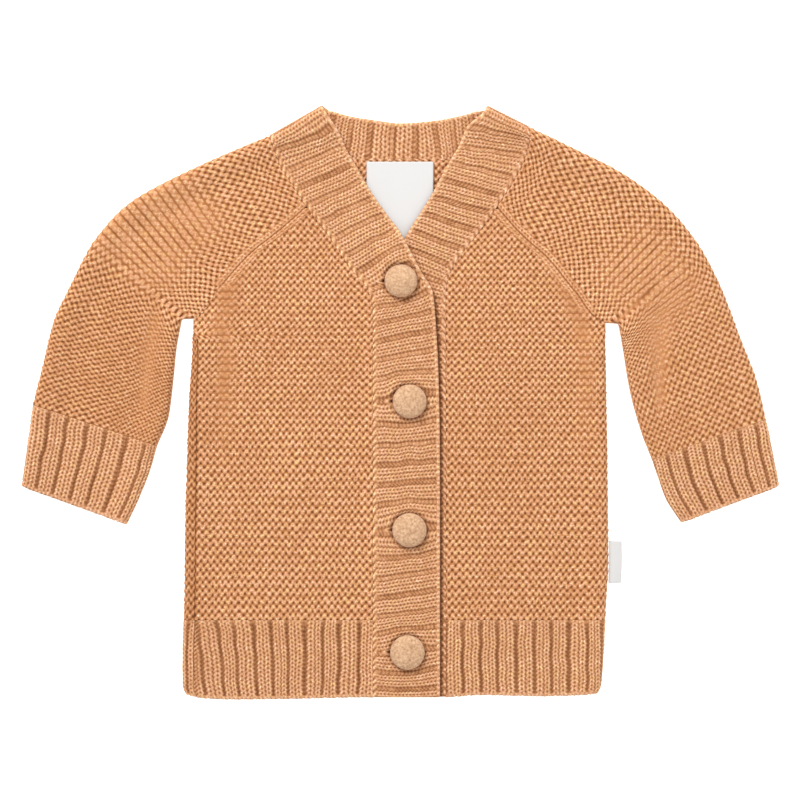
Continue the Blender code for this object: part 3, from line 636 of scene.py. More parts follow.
# What all ribs share
ribbing = {
    "drift": (0.05, 7.0),     # of the ribs, in ribs
    "longDrift": (0.04, 19.0),
    "fanSize": 9.0,
    "flareRun": 15.0,         # the purl columns narrow over this run
    "rowDrift": (0.25, 15.0),
    "knitEdge": 0.62,
    "knitRun": 0.12,
    "flat": 0.9,
    "barAt": 0.45,
    "barRise": 0.3,
    # how much lighter the purl bars in the slot's painted shadow are
    "slotBarLit": 0.15,
    "purlDepth": 0.75,        # depth of the purl column beside its slot, in slot depths
    "slotDrift": (0.25, 11.0),
    "slotWall": (0.15, 1.2),
    "fuzz": (0.14, 1.7),
    "legLit": (0.12, 0.98),
    "flankLit": 0.78,
    # unevenness of the slot's painted shadow
    "slotLitDrift": (0.1, 8.0),
}


def drifting(name, x, y, seed):
    amount, size = ribbing[name]
    return amount * wander(x, y, size, seed)


def loopWave(at, pitch):
    # 1 on each loop of a row and 0 between them
    return 0.5 + 0.5 * np.cos(2 * math.pi * at / pitch)


def ribStitches(rib, place, along, seed, first=-1e6, last=1e6):
    # place counts ribs from a valley.
    # Gives the depth below the crown in mm, how lit it is and a number for each stitch.
    place = (place + drifting("drift", place * 6, along, seed + 1)
             + drifting("longDrift", place * 2, along, seed + 2))
    place = place + rib["uneven"] * wander(place * 8, 0 * along, ribbing["fanSize"], seed + 5)
    nearest = np.clip(np.round(place), first, last)
    off = place - nearest
    purl = rib["purl"] * (1 + rib["flare"] * (1 - ease(along / ribbing["flareRun"])))
    inRib = place - np.floor(place)
    across = 2 * (inRib - purl) / (1 - 2 * purl)
    which = np.clip(np.floor(across), 0, 1)
    a = across - which - 0.5
    knitted = np.where(abs(off) > 0.5, 1.0, ease((ribbing["knitEdge"] - abs(a)) / ribbing["knitRun"]))
    b = along / rib["row"] + drifting("rowDrift", place * 9, along, seed)
    b = b + scatter(np.floor(place), which, seed)
    legs, tone = knitColumn(np.clip(a, -0.6, 0.6), b, seed + which.astype(int) * 7)
    profile = np.sqrt(np.maximum(1 - ribbing["flat"] * (1 - 2 * np.minimum(abs(off), 0.5)) ** 2, 0.0))
    bars = loopWave(b - ribbing["barAt"] * off / purl, 1.0)
    slot = rib["slot"] * (1 + drifting("slotDrift", place * 5, along, seed + 4))
    slotEdge, slotRun = ribbing["slotWall"]
    wall = ramp(abs(off - rib["slotAt"]), slotEdge * slot, slotRun * slot)
    crown = rib["round"] * (1 - profile)
    raised = ribbing["barRise"] * bars
    depth = mix(ribbing["purlDepth"] * rib["deep"] - raised, crown + yarn["ribRise"] * (1 - legs), knitted)
    shown = rib["purlLit"] * (0.5 + scatter(nearest, which * 0, seed + 8)) + rib["bars"] * bars
    shown = shown + drifting("fuzz", place * 10, along, seed + 9)
    shown = mix(shown, mix(*ribbing["legLit"], legs) * mix(ribbing["flankLit"], 1.0, profile), knitted)
    # painted shadow in the slot, with its purl bars painted a little lighter
    dark = rib["dark"] + ribbing["slotBarLit"] * bars + drifting("slotLitDrift", place * 3, along, seed + 3)
    return mix(rib["deep"] - raised, depth, wall), mix(np.maximum(dark, 0.0), shown, wall), tone


# Meshes

plainLit = 0.8             # how lit the cloth is where its stitches aren't made


def alongEdge(points):
    # the share of an edge's length that lies before each of its points
    run = np.concatenate(([0.0], np.cumsum(length(np.diff(points, axis=0)))))
    return run / run[-1]


def sideSteps(outer, inner, places):
    # faces between two edges with different numbers of points
    outerAt, innerAt = alongEdge(places[outer]), alongEdge(places[inner])
    faces = []
    i = j = 0
    while i < len(outer) - 1 or j < len(inner) - 1:
        nextOuter = outerAt[i + 1] if i < len(outer) - 1 else 2.0
        nextInner = innerAt[j + 1] if j < len(inner) - 1 else 2.0
        if nextOuter <= nextInner:
            faces.append((outer[i], outer[i + 1], inner[j]))
            i += 1
        else:
            faces.append((outer[i], inner[j + 1], inner[j]))
            j += 1
    return faces


def gridFaces(index):
    # quads of a grid of indices, and triangles where its columns run together
    corners = np.stack((index[:-1, :-1], index[:-1, 1:], index[1:, 1:], index[1:, :-1]), -1).reshape(-1, 4)
    same = corners == np.roll(corners, -1, 1)
    quads = corners[~same.any(1)].tolist()
    thin = corners[same.sum(1) == 1]
    triangles = [[c for k, c in enumerate(face) if c != face[(k + 1) % 4]] for face in thin.tolist()]
    return [face for face in quads + triangles if len(set(face)) == len(face)]


def used(index):
    # indices without repeats, in the order in which they are met
    found = []
    for k in index.tolist():
        if not found or found[-1] != k:
            found.append(k)
    return found


def clothMesh(name, surface, relief, inner, looks, place=None, plain=None):
    # A wall of cloth: a fine outer face with relief, a plain inner one and the edges between them.
    # looks are the painted light and shade of each outer point (its lit value) and its stitch's tone, plain
    # the same for the inner points.
    # place gives the column that each point of a row uses, where the outer face narrows or is coarser.
    rows, columns = surface.shape[:2]
    index = np.arange(rows * columns).reshape(rows, columns)
    if place is not None:
        index = np.take_along_axis(index, place, 1)
    count = rows * columns
    under = count + np.arange(inner.shape[0] * inner.shape[1]).reshape(inner.shape[:2])
    faces = gridFaces(index) + [face[::-1] for face in gridFaces(under)]
    rims = ((index[0], under[0]), (index[:, -1], under[:, -1]), (index[-1][::-1], under[-1][::-1]),
            (index[::-1, 0], under[::-1, 0]))
    places = np.concatenate((surface.reshape(-1, 3), inner.reshape(-1, 3)))
    for top, bottom in rims:
        faces += [face[::-1] for face in sideSteps(used(top), used(bottom), places)]
    points = places * mm
    points[:count] += relief.reshape(-1, 3) * mm
    keep = np.zeros(len(points), bool)
    keep[index.ravel()] = True
    keep[under.ravel()] = True
    renumber = np.cumsum(keep) - 1
    faces = [[int(renumber[k]) for k in face] for face in faces]
    points = points[keep]
    if volume(points, faces) < 0:
        faces = [face[::-1] for face in faces]
    mesh = bpy.data.meshes.new(name)
    mesh.from_pydata(points.tolist(), [], faces)
    inside = np.ones(inner.shape[:2])
    plain = plain or (plainLit * inside, 0.5 * inside)
    for attribute, outerValues, innerValues in zip(("lit", "tone"), looks, plain):
        values = np.concatenate((outerValues.ravel(), innerValues.ravel()))[keep]
        mesh.attributes.new(attribute, "FLOAT", "POINT").data.foreach_set("value", values.astype(np.float32))
    mesh.validate()
    mesh.shade_smooth()
    obj = bpy.data.objects.new(name, mesh)
    bpy.context.scene.collection.objects.link(obj)
    print(f"{name}: {sum(len(face) - 2 for face in faces)} triangles")
    return obj


def volume(points, faces):
    # signed, so that it tells whether the faces look outwards
    fans = [(face[0], face[k], face[k + 1]) for face in faces for k in range(1, len(face) - 1)]
    a, b, c = points[np.array(fans)].transpose(1, 0, 2)
    return (a * np.cross(b, c)).sum() / 6


def facing(surface):
    alongRows = np.gradient(surface, axis=1)
    alongColumns = np.gradient(surface, axis=0)
    return unit(np.cross(alongRows, alongColumns))


def steps(first, last, pitch):
    count = max(int(round((last - first) / pitch)), 1)
    return np.linspace(first, last, count + 1)


def grid(rows, columns):
    return np.meshgrid(rows, columns, indexing="ij")


def evenGrid(rows, columns):
    return grid(np.linspace(0, 1, rows), np.linspace(0, 1, columns))


# Body fronts and their hems

front = {
    "top": {-1: 112.4, 1: 112.0},
    "counted": 33.0,          # the height at which the stitches across are counted
    "phase": 0.14,            # of the first ridge above the hem
    "drawn": {-1: 16.5, 1: 15.0},      # the stitches are drawn out this far from the side seam,
    "drawnTop": 5.0,                   # and this far from the raglan
    "drawnTurn": (-8.0, 30.0),         # from the underarm on,
    "drawnFrom": (-45.0, 60.0),        # from this height on,
    "drawnTo": (20.0, 12.0),           # and as far above the underarm as this
    "drawnWidth": 4.8,
    "drawnDrift": (0.68, 0.4, 8.0),
    "drawnTight": 0.85,
    # the drawn-out stitches get evened-out painted light and painted shade
    "drawnLit": 0.46,
    "drawnSoft": 0.4,
    "drawnShade": 0.22,
    "seamShade": {-1: 0.6, 1: 0.2},
    "seamWidth": 1.4,
    "railEnd": {-1: 16.0, 1: 3.0},
    "railRun": 7.0,
    "railScale": (0.71, 1.4),          # from across and up the front to across and along the raglan
    "sewnRun": 3.0,
    "overlap": 0.3,           # over the sleeve, at the raglan seam
    "seamDip": 0.35,
    "seamRun": 1.3,
    "spare": 6.0,             # width of the mesh past the widest row
    "inner": (24, 14),        # rows and columns of the inner face
}
edgeSlack = 0.05           # points this close to an edge are moved onto it
seamRef = {-1: -16.0, 1: 26.5}     # X of each band's straight seam


def seamDip(distance):
    return front["seamDip"] * (1 - ease(distance / front["seamRun"]))


def frontReach(side, y):
    # first and last place across a front, measured outwards from its band's straight seam
    low = np.maximum(side * (crossing(bandSeam[side], y) - seamRef[side]), 0.0)
    flat = side * (crossing(raglans[side, "front"], y) - seamRef[side]) + front["overlap"]
    folded = side * (column(sides[side], "x", y) - seamRef[side]) - cloth["fold"] + quarter
    return low, mix(flat, folded - column(sides[side], "seam", y), closed(side, y))


def frontSurface(side, across, y, depth=0.0):
    outline = column(sides[side], "x", y)
    turn = quarter + side * (outline - seamRef[side]) - cloth["fold"] - across
    reach, height, _ = roundFold(turn, cloth["fold"] - depth)
    fold = closed(side, y)
    x = mix(seamRef[side] + side * across, outline - side * reach, fold)
    level = layer[side](x, y)
    onTop = lifted(level, np.maximum(turn - quarter, 0.0)) + cloth["wall"] - depth
    folded = np.where(turn > quarter, onTop, height)
    return np.stack((x, y + 0 * x, mix(level + cloth["wall"] - depth, folded, fold)), -1)


def clearOfFloor(surface):
    return ramp(surface[..., 2], cloth["floorLead"], cloth["floorRun"])


def garterLift(stitches, surface, sunk):
    return ((yarn["rise"] * (stitches - yarn["level"]) - sunk) * clearOfFloor(surface))[..., None]


def frontTight(side, across, high, y):
    fromUnderarm = y - underarm[side]
    middle = mix(front["drawn"][side], front["drawnTop"], ramp(fromUnderarm, *front["drawnTurn"]))
    mean, amount, size = front["drawnDrift"]
    beside = np.exp(-((high - across - middle) / front["drawnWidth"]) ** 2)
    beside = beside * (mean + amount * wander(across, y + 0 * across, size, 33))
    return beside * ramp(y, *front["drawnFrom"]) * (1 - ramp(fromUnderarm, *front["drawnTo"]))


def frontStitches(side, across, high, scale, y):
    u = across / scale / yarn["stitch"]
    v = ridgesAt(bodyRidges, y) - ridgesAt(bodyRidges, cloth["bodyHem"]) + front["phase"] + 0 * across
    drawn = frontTight(side, across, high, y)
    stitches, lit, tone = garterStitches(u, v, 40 + side, front["drawnTight"] * drawn)
    # painted shade beside the side seam and on the drawn-out stitches
    beside = front["seamShade"][side] * (1 - ease((high - across) / front["seamWidth"])) * closed(side, y)
    lit = mix(lit, front["drawnLit"], front["drawnSoft"] * drawn) * (1 - front["drawnShade"] * drawn)
    stitches = stitches, lit * (1 - beside), tone
    onRaglan = ramp(y - underarm[side], front["railEnd"][side], front["railRun"]) + 0 * across
    sewn = ease((y - underarm[side]) / front["sewnRun"])
    acrossScale, alongScale = front["railScale"]
    return rail(side, (high - across) * acrossScale, y * alongScale, stitches, onRaglan, sewn)


def makeFront(side, name):
    y = steps(cloth["bodyHem"], front["top"][side], yarn["ridge"] / yarn["perRidge"])[:, None]
    low, high = frontReach(side, y)
    widest = frontReach(side, np.array([front["counted"]]))[1][0]
    scale = mix(1.0, high / widest, closed(side, y))
    place = steps(0.0, widest + front["spare"], yarn["stitch"] / yarn["perStitch"])[None, :] * scale
    first = np.clip((place <= low + edgeSlack).sum(1) - 1, 0, None)
    last = (place < high - edgeSlack).sum(1)
    across = np.clip(place, low, high)
    surface = frontSurface(side, across, y)
    stitches, lit, tone = frontStitches(side, across, high, scale, y)
    sunk = seamDip(np.minimum(across - low, high - across))
    relief = facing(surface) * side * garterLift(stitches, surface, sunk)
    t, s = evenGrid(*front["inner"])
    innerY = mix(cloth["bodyHem"], front["top"][side], t)
    low, high = frontReach(side, innerY)
    inner = frontSurface(side, mix(low, high, s), innerY, cloth["wall"])
    place = np.clip(np.arange(across.shape[1])[None, :], first[:, None], last[:, None])
    return clothMesh(name, surface, relief, inner, (lit, tone), place)


hem = {
    "pitch": 10.2,
    "firstValley": {-1: -106.3, 1: 36.4},
    "valleys": {-1: 9, 1: 8},
    "slant": 5.0,
    "slantFrom": -46.0,
    "slantRun": 60.0,
    "step": 0.45,
    "strip": -119.3,          # the last rib before the right side seam lies turned away here
    "stripWidth": 2.8,
    "stripSlant": 0.35,
    "stripLit": 0.6,
    "stripShare": 0.75,
    "stripDepth": 0.4,
    "inner": (6, 16),
}

edging = {
    "castOff": (0.7, 1.3),    # the rib ends in a row of loops, this far from the edge and this deep
    "castOffDepth": 0.75,
    "castOffRise": 0.45,
    "castOffLit": (0.5, 0.3),
    "start": 3.0,             # the rib grows out of the garter stitch over this run
    "startDrift": (0.8, 5.0),
    "startDepth": 0.5,
    "startLit": 0.3,
    "round": 1.2,
    "scallop": 0.7,
    "scallopLevel": 0.3,
    "scallopRun": 1.6,
    "crown": 0.3,             # the crowns stand this far above the plain wall
}


def hemY(x, share):
    return mix(cloth["bodyHem"], column(hemEdge, "y", x), share)


def hemLean(side, x, share):
    lean = hem["slant"] * share * np.clip((hem["slantFrom"] - x) / hem["slantRun"], 0.0, 1.0)
    return lean if side < 0 else 0.0 * x


def edgeRound(distance, radius=edging["round"]):
    # how far a free edge has dropped at a distance from it
    inside = np.clip(distance / radius, 0.0, 1.0)
    return radius * (1 - np.sqrt(np.maximum(1 - (1 - inside) ** 2, 0.0)))


def castOff(stitches, around, fromStart, fromEnd):
    # the last row of loops along a rib's free end, and the flow of the rib out of the garter stitch
    depth, lit, tone = stitches
    loops = loopWave(around, yarn["ribStitch"])
    end = ramp(fromEnd, *edging["castOff"])
    drift, size = edging["startDrift"]
    start = ease((fromStart + drift * wander(around, 0 * around, size, 8)) / edging["start"])
    start = mix(edging["startDepth"], 1.0, start)
    depth = mix(edging["castOffDepth"] - edging["castOffRise"] * loops, depth, np.minimum(end, start))
    ground, rise = edging["castOffLit"]
    lit = mix(ground + rise * loops, lit, np.minimum(end, mix(edging["startLit"], 1.0, start)))
    return depth + edgeRound(fromEnd), lit, tone


def scallop(around, fromEnd):
    # how far the loops of the last row reach past the edge
    loops = loopWave(around, yarn["ribStitch"])
    return edging["scallop"] * (loops - edging["scallopLevel"]) * (1 - ease(fromEnd / edging["scallopRun"]))


def ribLift(depth, surface, crown=edging["crown"]):
    return ((crown - depth) * clearOfFloor(surface))[..., None]


def hemSurface(side, s, t, depth=0.0):
    # s runs from the band's seam to the side seam, t from the garter stitch to the bottom edge
    y = mix(cloth["bodyHem"], cloth["hemBottom"], t)
    low, high = frontReach(side, y)
    across = mix(low, high, s)
    surface = frontSurface(side, across, y, depth)
    surface[..., 1] = hemY(surface[..., 0], t)
    return across, surface


def makeHem(side, name):
    width = frontReach(side, np.array([cloth["bodyHem"]]))[1][0]
    deep = cloth["bodyHem"] - cloth["hemBottom"]
    t, s = grid(steps(0.0, 1.0, hem["step"] / deep), steps(0.0, 1.0, hem["step"] / width))
    across, surface = hemSurface(side, s, t)
    x = seamRef[side] + side * across
    place = (x - hemLean(side, x, t) - hem["firstValley"][side]) / hem["pitch"]
    first = -1 if side < 0 else 0
    stitches = ribStitches(hemRib, place, t * deep, 60 + side, first, hem["valleys"][side] - 1)
    depth, lit, tone = castOff(stitches, across, t * deep, (1 - t) * deep)
    depth = depth + seamDip(s * width) + seamDip((1 - s) * width)
    if side < 0:
        fromStrip = x - hem["strip"]
        strip = np.exp(-(fromStrip / hem["stripWidth"]) ** 4)
        loops = t * deep / yarn["ribStitch"] + hem["stripSlant"] * abs(fromStrip)
        turned = hem["stripLit"] * loopWave(loops, 1.0)
        lit = mix(lit, turned, hem["stripShare"] * strip)
        depth = depth + hem["stripDepth"] * strip
    relief = -facing(surface) * side * ribLift(depth, surface)
    relief[..., 1] -= scallop(across, (1 - t) * deep)
    t, s = evenGrid(*hem["inner"])
    inner = hemSurface(side, s, t, cloth["rib"])[1]
    return clothMesh(name, surface, relief, inner, (lit, tone))


# Sleeves and cuffs

def tubeWidth(width, shut):
    # how far round it is from the outermost line to the edge on one face
    return width - cloth["fold"] + quarter + shut * (quarter - cloth["fold"])


def tubeSurface(ends, ways, around, shut, depth=0.0):
    # around is measured from the outermost line, over the top where it is positive
    over = around >= 0
    q = abs(around)
    radius = cloth["fold"] - depth
    reach, foldHeight, up = roundFold(np.minimum(q, quarter) * np.where(over, 1, -1), radius)
    reach = np.where(q > quarter, cloth["fold"] + q - quarter, reach)
    outer = ends[0]
    end = np.where(over[..., None], ends[1], ends[2])
    width = length(end - outer)
    left = tubeWidth(width, shut) - q
    edgeAngle = np.clip(left / cloth["fold"], 0.0, math.pi / 2)
    atEdge = left < quarter
    curled = width - cloth["fold"] + radius * np.cos(edgeAngle)
    reach = np.where(atEdge, mix(np.minimum(reach, width), curled, shut), reach)
    straight = unit(end - outer)
    foldWay = unit(mix(ways[1], ways[0], ((1 + up) / 2)[..., None]))
    inwards = np.clip((reach - cloth["fold"]) / (width - cloth["fold"]), 0.0, 1.0)
    near = np.minimum(reach, cloth["fold"]) * (1 - inwards)
    plan = outer + straight * (reach - near)[..., None] + foldWay * near[..., None]
    level = resting(plan[..., 0], plan[..., 1])
    top = lifted(level, np.maximum(q - quarter, 0.0))
    top = np.maximum(top, lifted(level, np.maximum(left - quarter, 0.0), shut)) + cloth["wall"] - depth
    z = np.where(over, top, depth)
    z = np.where(q < quarter, foldHeight, z)
    curledZ = cloth["fold"] + radius * np.sin(edgeAngle) * np.where(over, 1, -1)
    z = np.where(atEdge, mix(z, curledZ, shut), z)
    return np.concatenate((plan, z[..., None]), -1)


sleeve = {
    "step": 0.56,
    "stitch": {-1: 4.1, 1: 4.0},
    "underarmRun": 4.5,
    "under": (1, 0.985, 0.97, 0.955, 0.94, 0.92, 0.9, 0.75, 0.5, 0.25, 0),
    "wrap": 6.5,              # the stitches run this far under the outer fold
    "wrapFade": 1.5,
    # below here the painted light is evened out and the lower sleeve gets painted shade
    "low": (90.0, 40.0),      # the cloth softens and darkens below here
    "soft": {-1: 0.0, 1: 0.08},
    "softLit": 0.51,
    "lowShade": {-1: 0.12, 1: 0.04},
    "railEnd": {-1: 34.0, 1: 16.0},         # the column beside the seam ends this far before the underarm,
    "railRun": 12.0,
    "seamEnd": {-1: 22.0, 1: 1.0},          # and the seam's shadow this far
    "seamRun": 14.0,
    "cornerStep": 0.8,        # rows of the inner face where the underarm turns the corner
    "cornerRows": (-4.0, 8.0),
    "innerRows": (11, 10),                  # above and below them
    "innerColumns": 24,
}

# How the ridges and stitches of a sleeve are pulled about. "Along" and "Across" say where: start, rise, end
# and fall, or only the first two, in mm along the sleeve and in shares of its half girth.
pulled = {
    "tight": 0.85,            # the ridges are pushed together below the shoulder
    "tightAlong": {-1: (36.0, 22.0, 96.0, 22.0), 1: (66.0, 22.0, 118.0, 22.0)},
    "tightAcross": {-1: (-1.0, 0.25, 0.5, 0.35), 1: (0.1, 0.25, 0.6, 0.35)},
    "skew": 0.13,             # the ridges over the shoulder run down towards the front
    "skewAlong": (14.0, 30.0, 92.0, 28.0),
    "lowSkew": {-1: 0.0, 1: -0.6},
    "lowSkewAlong": (112.0, 22.0, 142.0, 30.0),
    "tilt": {-1: 0.0, 1: 2.2},              # the ridges rise this far at the underarm edge
    "tiltAlong": (118.0, 25.0, 165.0, 20.0),
    "tiltAcross": (0.62, 0.38),
    "corner": {-1: 4.0, 1: 5.5},            # and hang this far down where the underarm turns
    "cornerAlong": (108.0, 12.0, 135.0, 32.0),
    "cornerAcross": (0.65, 0.35),
    "squeeze": {-1: 3.4, 1: 1.6},           # stitches pushed in beside the underarm edge above the cuff
    "squeezeAlong": (115.0, 45.0),
    "squeezeAcross": (0.6, 0.4),
    "open": 1.0,              # the stitches beside the raglan and the underarm are pulled apart
    "openAlong": {-1: (55.0, 20.0, 104.0, 14.0), 1: (55.0, 20.0, 140.0, 14.0)},
    "openAcross": (0.6, 0.2),
    "crease": 1.1,            # depth of the crease below the underarm
    "creaseAlong": (105.0, 25.0, 165.0, 30.0),
    "creaseWidth": 0.06,
    "creaseAt": {-1: 0.75, 1: 0.63},        # in the middle of its length
    "creaseMiddle": 131.0,
    "creaseDrift": {-1: 0.0006, 1: 0.0036},
    "drawn": {-1: 0.6, 1: 0.9},             # the stitches are drawn out along the crease
    "drawnAlong": (108.0, 14.0, 168.0, 16.0),
    "drawnLeast": 0.035,
    "drawnWidth": {-1: 0.035, 1: 0.1},
    "drawnNarrows": (125.0, 50.0),
    "drawnTight": 0.55,
    "drawnSoft": 0.6,
    "drawnFlat": 0.3,
}


def sleeveShut(along):
    return ease((along - underarmAlong) / sleeve["underarmRun"])


def sleeveSurface(side, along, around, depth=0.0):
    rows = sleeves[side]

    def at(place):
        ends = [point(rows, name, place) for name in ("outer", "front", "back")]
        atNeck = (1 - ease(place / cloth["neckRun"]))[..., None]
        ways = [unit(mix(unit(end - ends[0]), neckWay, atNeck))
                for end, neckWay in zip(ends[1:], neckWays[side])]
        return tubeSurface(ends, ways, around, sleeveShut(place), depth)

    surface, neckRow = at(along), at(0 * along)
    seamX = np.where(around > 0, crossing(neckSeam[side], neckRow[..., 1]),
                     crossing(backNeckSeam[side], neckRow[..., 1]))
    reach = ease(abs(around) / quarter)
    surface[..., 0] += (seamX - neckRow[..., 0]) * (1 - ease(along / cloth["neckRun"])) * reach
    return surface


def endWidth(side, along, face):
    rows = sleeves[side]
    return tubeWidth(length(point(rows, face, along) - point(rows, "outer", along)), sleeveShut(along))


def sleeveTight(side, along, share):
    down = window(along, *pulled["tightAlong"][side])
    return pulled["tight"] * down * window(share, *pulled["tightAcross"][side])


def sleeveSkew(side, along):
    low = pulled["lowSkew"][side] * window(along, *pulled["lowSkewAlong"])
    return pulled["skew"] * (window(along, *pulled["skewAlong"]) + low)


def sleeveCrease(side, along, share):
    # how deep the crease below the underarm is, and how far the stitches beside it are drawn out
    drift = pulled["creaseDrift"][side] * (along - pulled["creaseMiddle"])
    fromMiddle = share - pulled["creaseAt"][side] - drift
    deep = window(along, *pulled["creaseAlong"]) * np.exp(-(fromMiddle / pulled["creaseWidth"]) ** 2)
    width = pulled["drawnLeast"] + pulled["drawnWidth"][side] * (1 - ramp(along, *pulled["drawnNarrows"]))
    run = window(along, *pulled["drawnAlong"])
    return pulled["crease"] * deep, pulled["drawn"][side] * run * np.exp(-(fromMiddle / width) ** 2)


def sleeveRidgePlace(side, along, around, share):
    tilt = pulled["tilt"][side] * window(along, *pulled["tiltAlong"]) * ramp(share, *pulled["tiltAcross"])
    corner = window(along, *pulled["cornerAlong"]) * ramp(share, *pulled["cornerAcross"])
    skew = sleeveSkew(side, along) * np.maximum(around, 0.0)
    return along + tilt - pulled["corner"][side] * corner - skew


def sleeveStitches(side, along, around, over, scale):
    share = around / over
    squeeze = ramp(along, *pulled["squeezeAlong"]) * ramp(share, *pulled["squeezeAcross"])
    u = around / scale / sleeve["stitch"][side] + pulled["squeeze"][side] * squeeze
    v = ridgesAt(sleeveRidges[side], sleeveRidgePlace(side, along, around, share))
    deep, drawn = sleeveCrease(side, along, share)
    tight = np.maximum(sleeveTight(side, along, share), pulled["drawnTight"] * drawn)
    open = pulled["open"] * window(along, *pulled["openAlong"][side]) * ramp(share, *pulled["openAcross"])
    stitches, lit, tone = garterStitches(u, v, 50 + side, tight, open)
    low = ramp(along, *sleeve["low"])
    soft = np.maximum(sleeve["soft"][side] * low, pulled["drawnSoft"] * drawn)
    stitches = stitches * (1 - pulled["drawnFlat"] * drawn), mix(lit, sleeve["softLit"], soft), tone
    fromUnderarm = along - underarmAlong
    onRaglan = 1 - ramp(fromUnderarm, -sleeve["railEnd"][side], sleeve["railRun"])
    sewn = 1 - ramp(fromUnderarm, -sleeve["seamEnd"][side], sleeve["seamRun"])
    stitches, lit, tone = rail(side, over - around, along, stitches, onRaglan, sewn)
    # painted shade on the lower sleeve
    return stitches, lit * (1 - sleeve["lowShade"][side] * low), tone, deep


def makeSleeve(side, name):
    total = sleeves[side]["along"][-1]
    along = steps(0.0, total, sleeve["step"])[:, None]
    over, under = endWidth(side, along, "front"), endWidth(side, along, "back")
    widest = endWidth(side, np.array([underarmAlong + sleeve["underarmRun"]]), "front")[0]
    lattice = steps(-sleeve["wrap"], over.max() + 1, yarn["stitch"] / yarn["perStitch"])[None, 1:]
    scale = mix(1.0, over / widest, sleeveShut(along))
    fine = np.where(lattice > 0, lattice * scale, lattice + 0 * scale)
    coarse = -mix(sleeve["wrap"], under, np.array(sleeve["under"])[None, :])
    around = np.minimum(np.concatenate((coarse, fine), 1), over)
    last = len(sleeve["under"]) + (fine < over - edgeSlack).sum(1)
    place = np.minimum(np.arange(around.shape[1])[None, :], last[:, None])
    along = along + 0 * around
    surface = sleeveSurface(side, along, around)
    stitches, lit, tone, deep = sleeveStitches(side, along, around, over, scale)
    sunk = seamDip(over - around) + seamDip(along) + deep
    coarseShare = ramp(around, -sleeve["wrap"] - sleeve["wrapFade"], sleeve["wrapFade"])
    relief = facing(surface) * side * garterLift(stitches, surface, sunk) * coarseShare[..., None]
    corner = steps(*(underarmAlong + np.array(sleeve["cornerRows"])), sleeve["cornerStep"])
    before, after = sleeve["innerRows"]
    rows = np.concatenate((np.linspace(0, corner[0], before)[:-1], corner,
                           np.linspace(corner[-1], total, after)[1:]))
    t, s = grid(rows, np.linspace(-1, 1, sleeve["innerColumns"]))
    width = np.where(s > 0, endWidth(side, t, "front"), endWidth(side, t, "back"))
    inner = sleeveSurface(side, t, s * width, cloth["wall"])
    return clothMesh(name, surface, relief, inner, (mix(plainLit, lit, coarseShare), tone), place)


cuff = {
    "pitch": 0.154,
    "firstValley": {-1: 0.135, 1: 0.1},
    "valleys": 6,
    "under": (1, 0.98, 0.96, 0.94, 0.92, 0.9, 0.8, 0.6, 0.4, 0.2, 0.1),
    "wrap": 0.08,             # the ribs run this share under the outer fold
    "fade": (-0.1, 0.03),
    "step": 0.45,
    "inner": (6, 24),
}


def cuffSurface(side, along, around, depth=0.0):
    rows = cuffs[side]
    outer, front = point(rows, "outer", along), point(rows, "front", along)
    way = unit(front - outer)
    return tubeSurface((outer, front, front), (way, way), around, 1.0 + 0 * along, depth)


def cuffGirth(side, along):
    return tubeWidth(length(point(cuffs[side], "front", along) - point(cuffs[side], "outer", along)), 1.0)


def makeCuff(side, name):
    total = cuffs[side]["along"][-1]
    along = steps(0.0, total, cuff["step"])[:, None]
    girth = cuffGirth(side, along)
    lattice = steps(-cuff["wrap"], 1.0, cuff["step"] / girth[0, 0])
    shares = np.concatenate((-np.array(cuff["under"]), lattice))
    around = girth * shares[None, :]
    along = along + 0 * around
    surface = cuffSurface(side, along, around)
    hidden = quarter - cloth["fold"]
    flatShare = (around - np.sign(around) * np.minimum(abs(around), hidden)) / (girth - 2 * hidden)
    place = (flatShare - cuff["firstValley"][side]) / cuff["pitch"]
    stitches = ribStitches(cuffRib, place, along, 70 + side, 0, cuff["valleys"] - 1)
    depth, lit, tone = castOff(stitches, around, along, total - along)
    coarseShare = ramp(shares[None, :], *cuff["fade"])
    relief = facing(surface) * side * ribLift(depth, surface) * coarseShare[..., None]
    ahead = unit(np.gradient(surface, axis=0))
    relief = relief + ahead * (scallop(around, total - along) * coarseShare)[..., None]
    rows, columns = cuff["inner"]
    t, s = grid(np.linspace(0, total, rows), np.linspace(-1, 1, columns))
    inner = cuffSurface(side, t, s * cuffGirth(side, t), cloth["rib"])
    return clothMesh(name, surface, relief, inner, (mix(plainLit, lit, coarseShare), tone))


# Neckband and button bands

buttons = table(
    "x  y  radius",
    (0.5, 70.2, 9.5),
    (5.5, 0.4, 9.8),
    (5.4, -74.2, 9.9),
    (4.2, -145.0, 10.0),
)
buttonhole = {
    "length": 12.5,
    "width": 2.6,
    "out": 11.2,
    "deep": 2.3,
    "flank": (0.6, 0.8),
    "lip": 0.25,
    "lipAt": 1.4,
    "lipWidth": 0.2,
    "lipLit": 0.75,
}

# Round each button the band is pressed down and painted in shadow, and its ribs bulge and are pushed away
pressed = {
    "depth": 0.8,
    "edge": (9.8, 2.4),
    "bulge": 0.35,
    "bulgeAt": 12.6,
    "bulgeWidth": 1.7,
    "lit": 0.55,
    "litEdge": (9.6, 1.6),
    "push": 0.5,
    "pushReach": 13.0,
}

# The left band lies in the shadow of the right one, which laps over it
lapShadow = {
    "lit": 0.22,
    "edge": (0.9, 1.5),
    "wave": 0.9,
    "neck": (52.0, 16.0),     # the shadow is lighter above this height
    "neckShare": 0.75,
    "depth": 0.5,
}

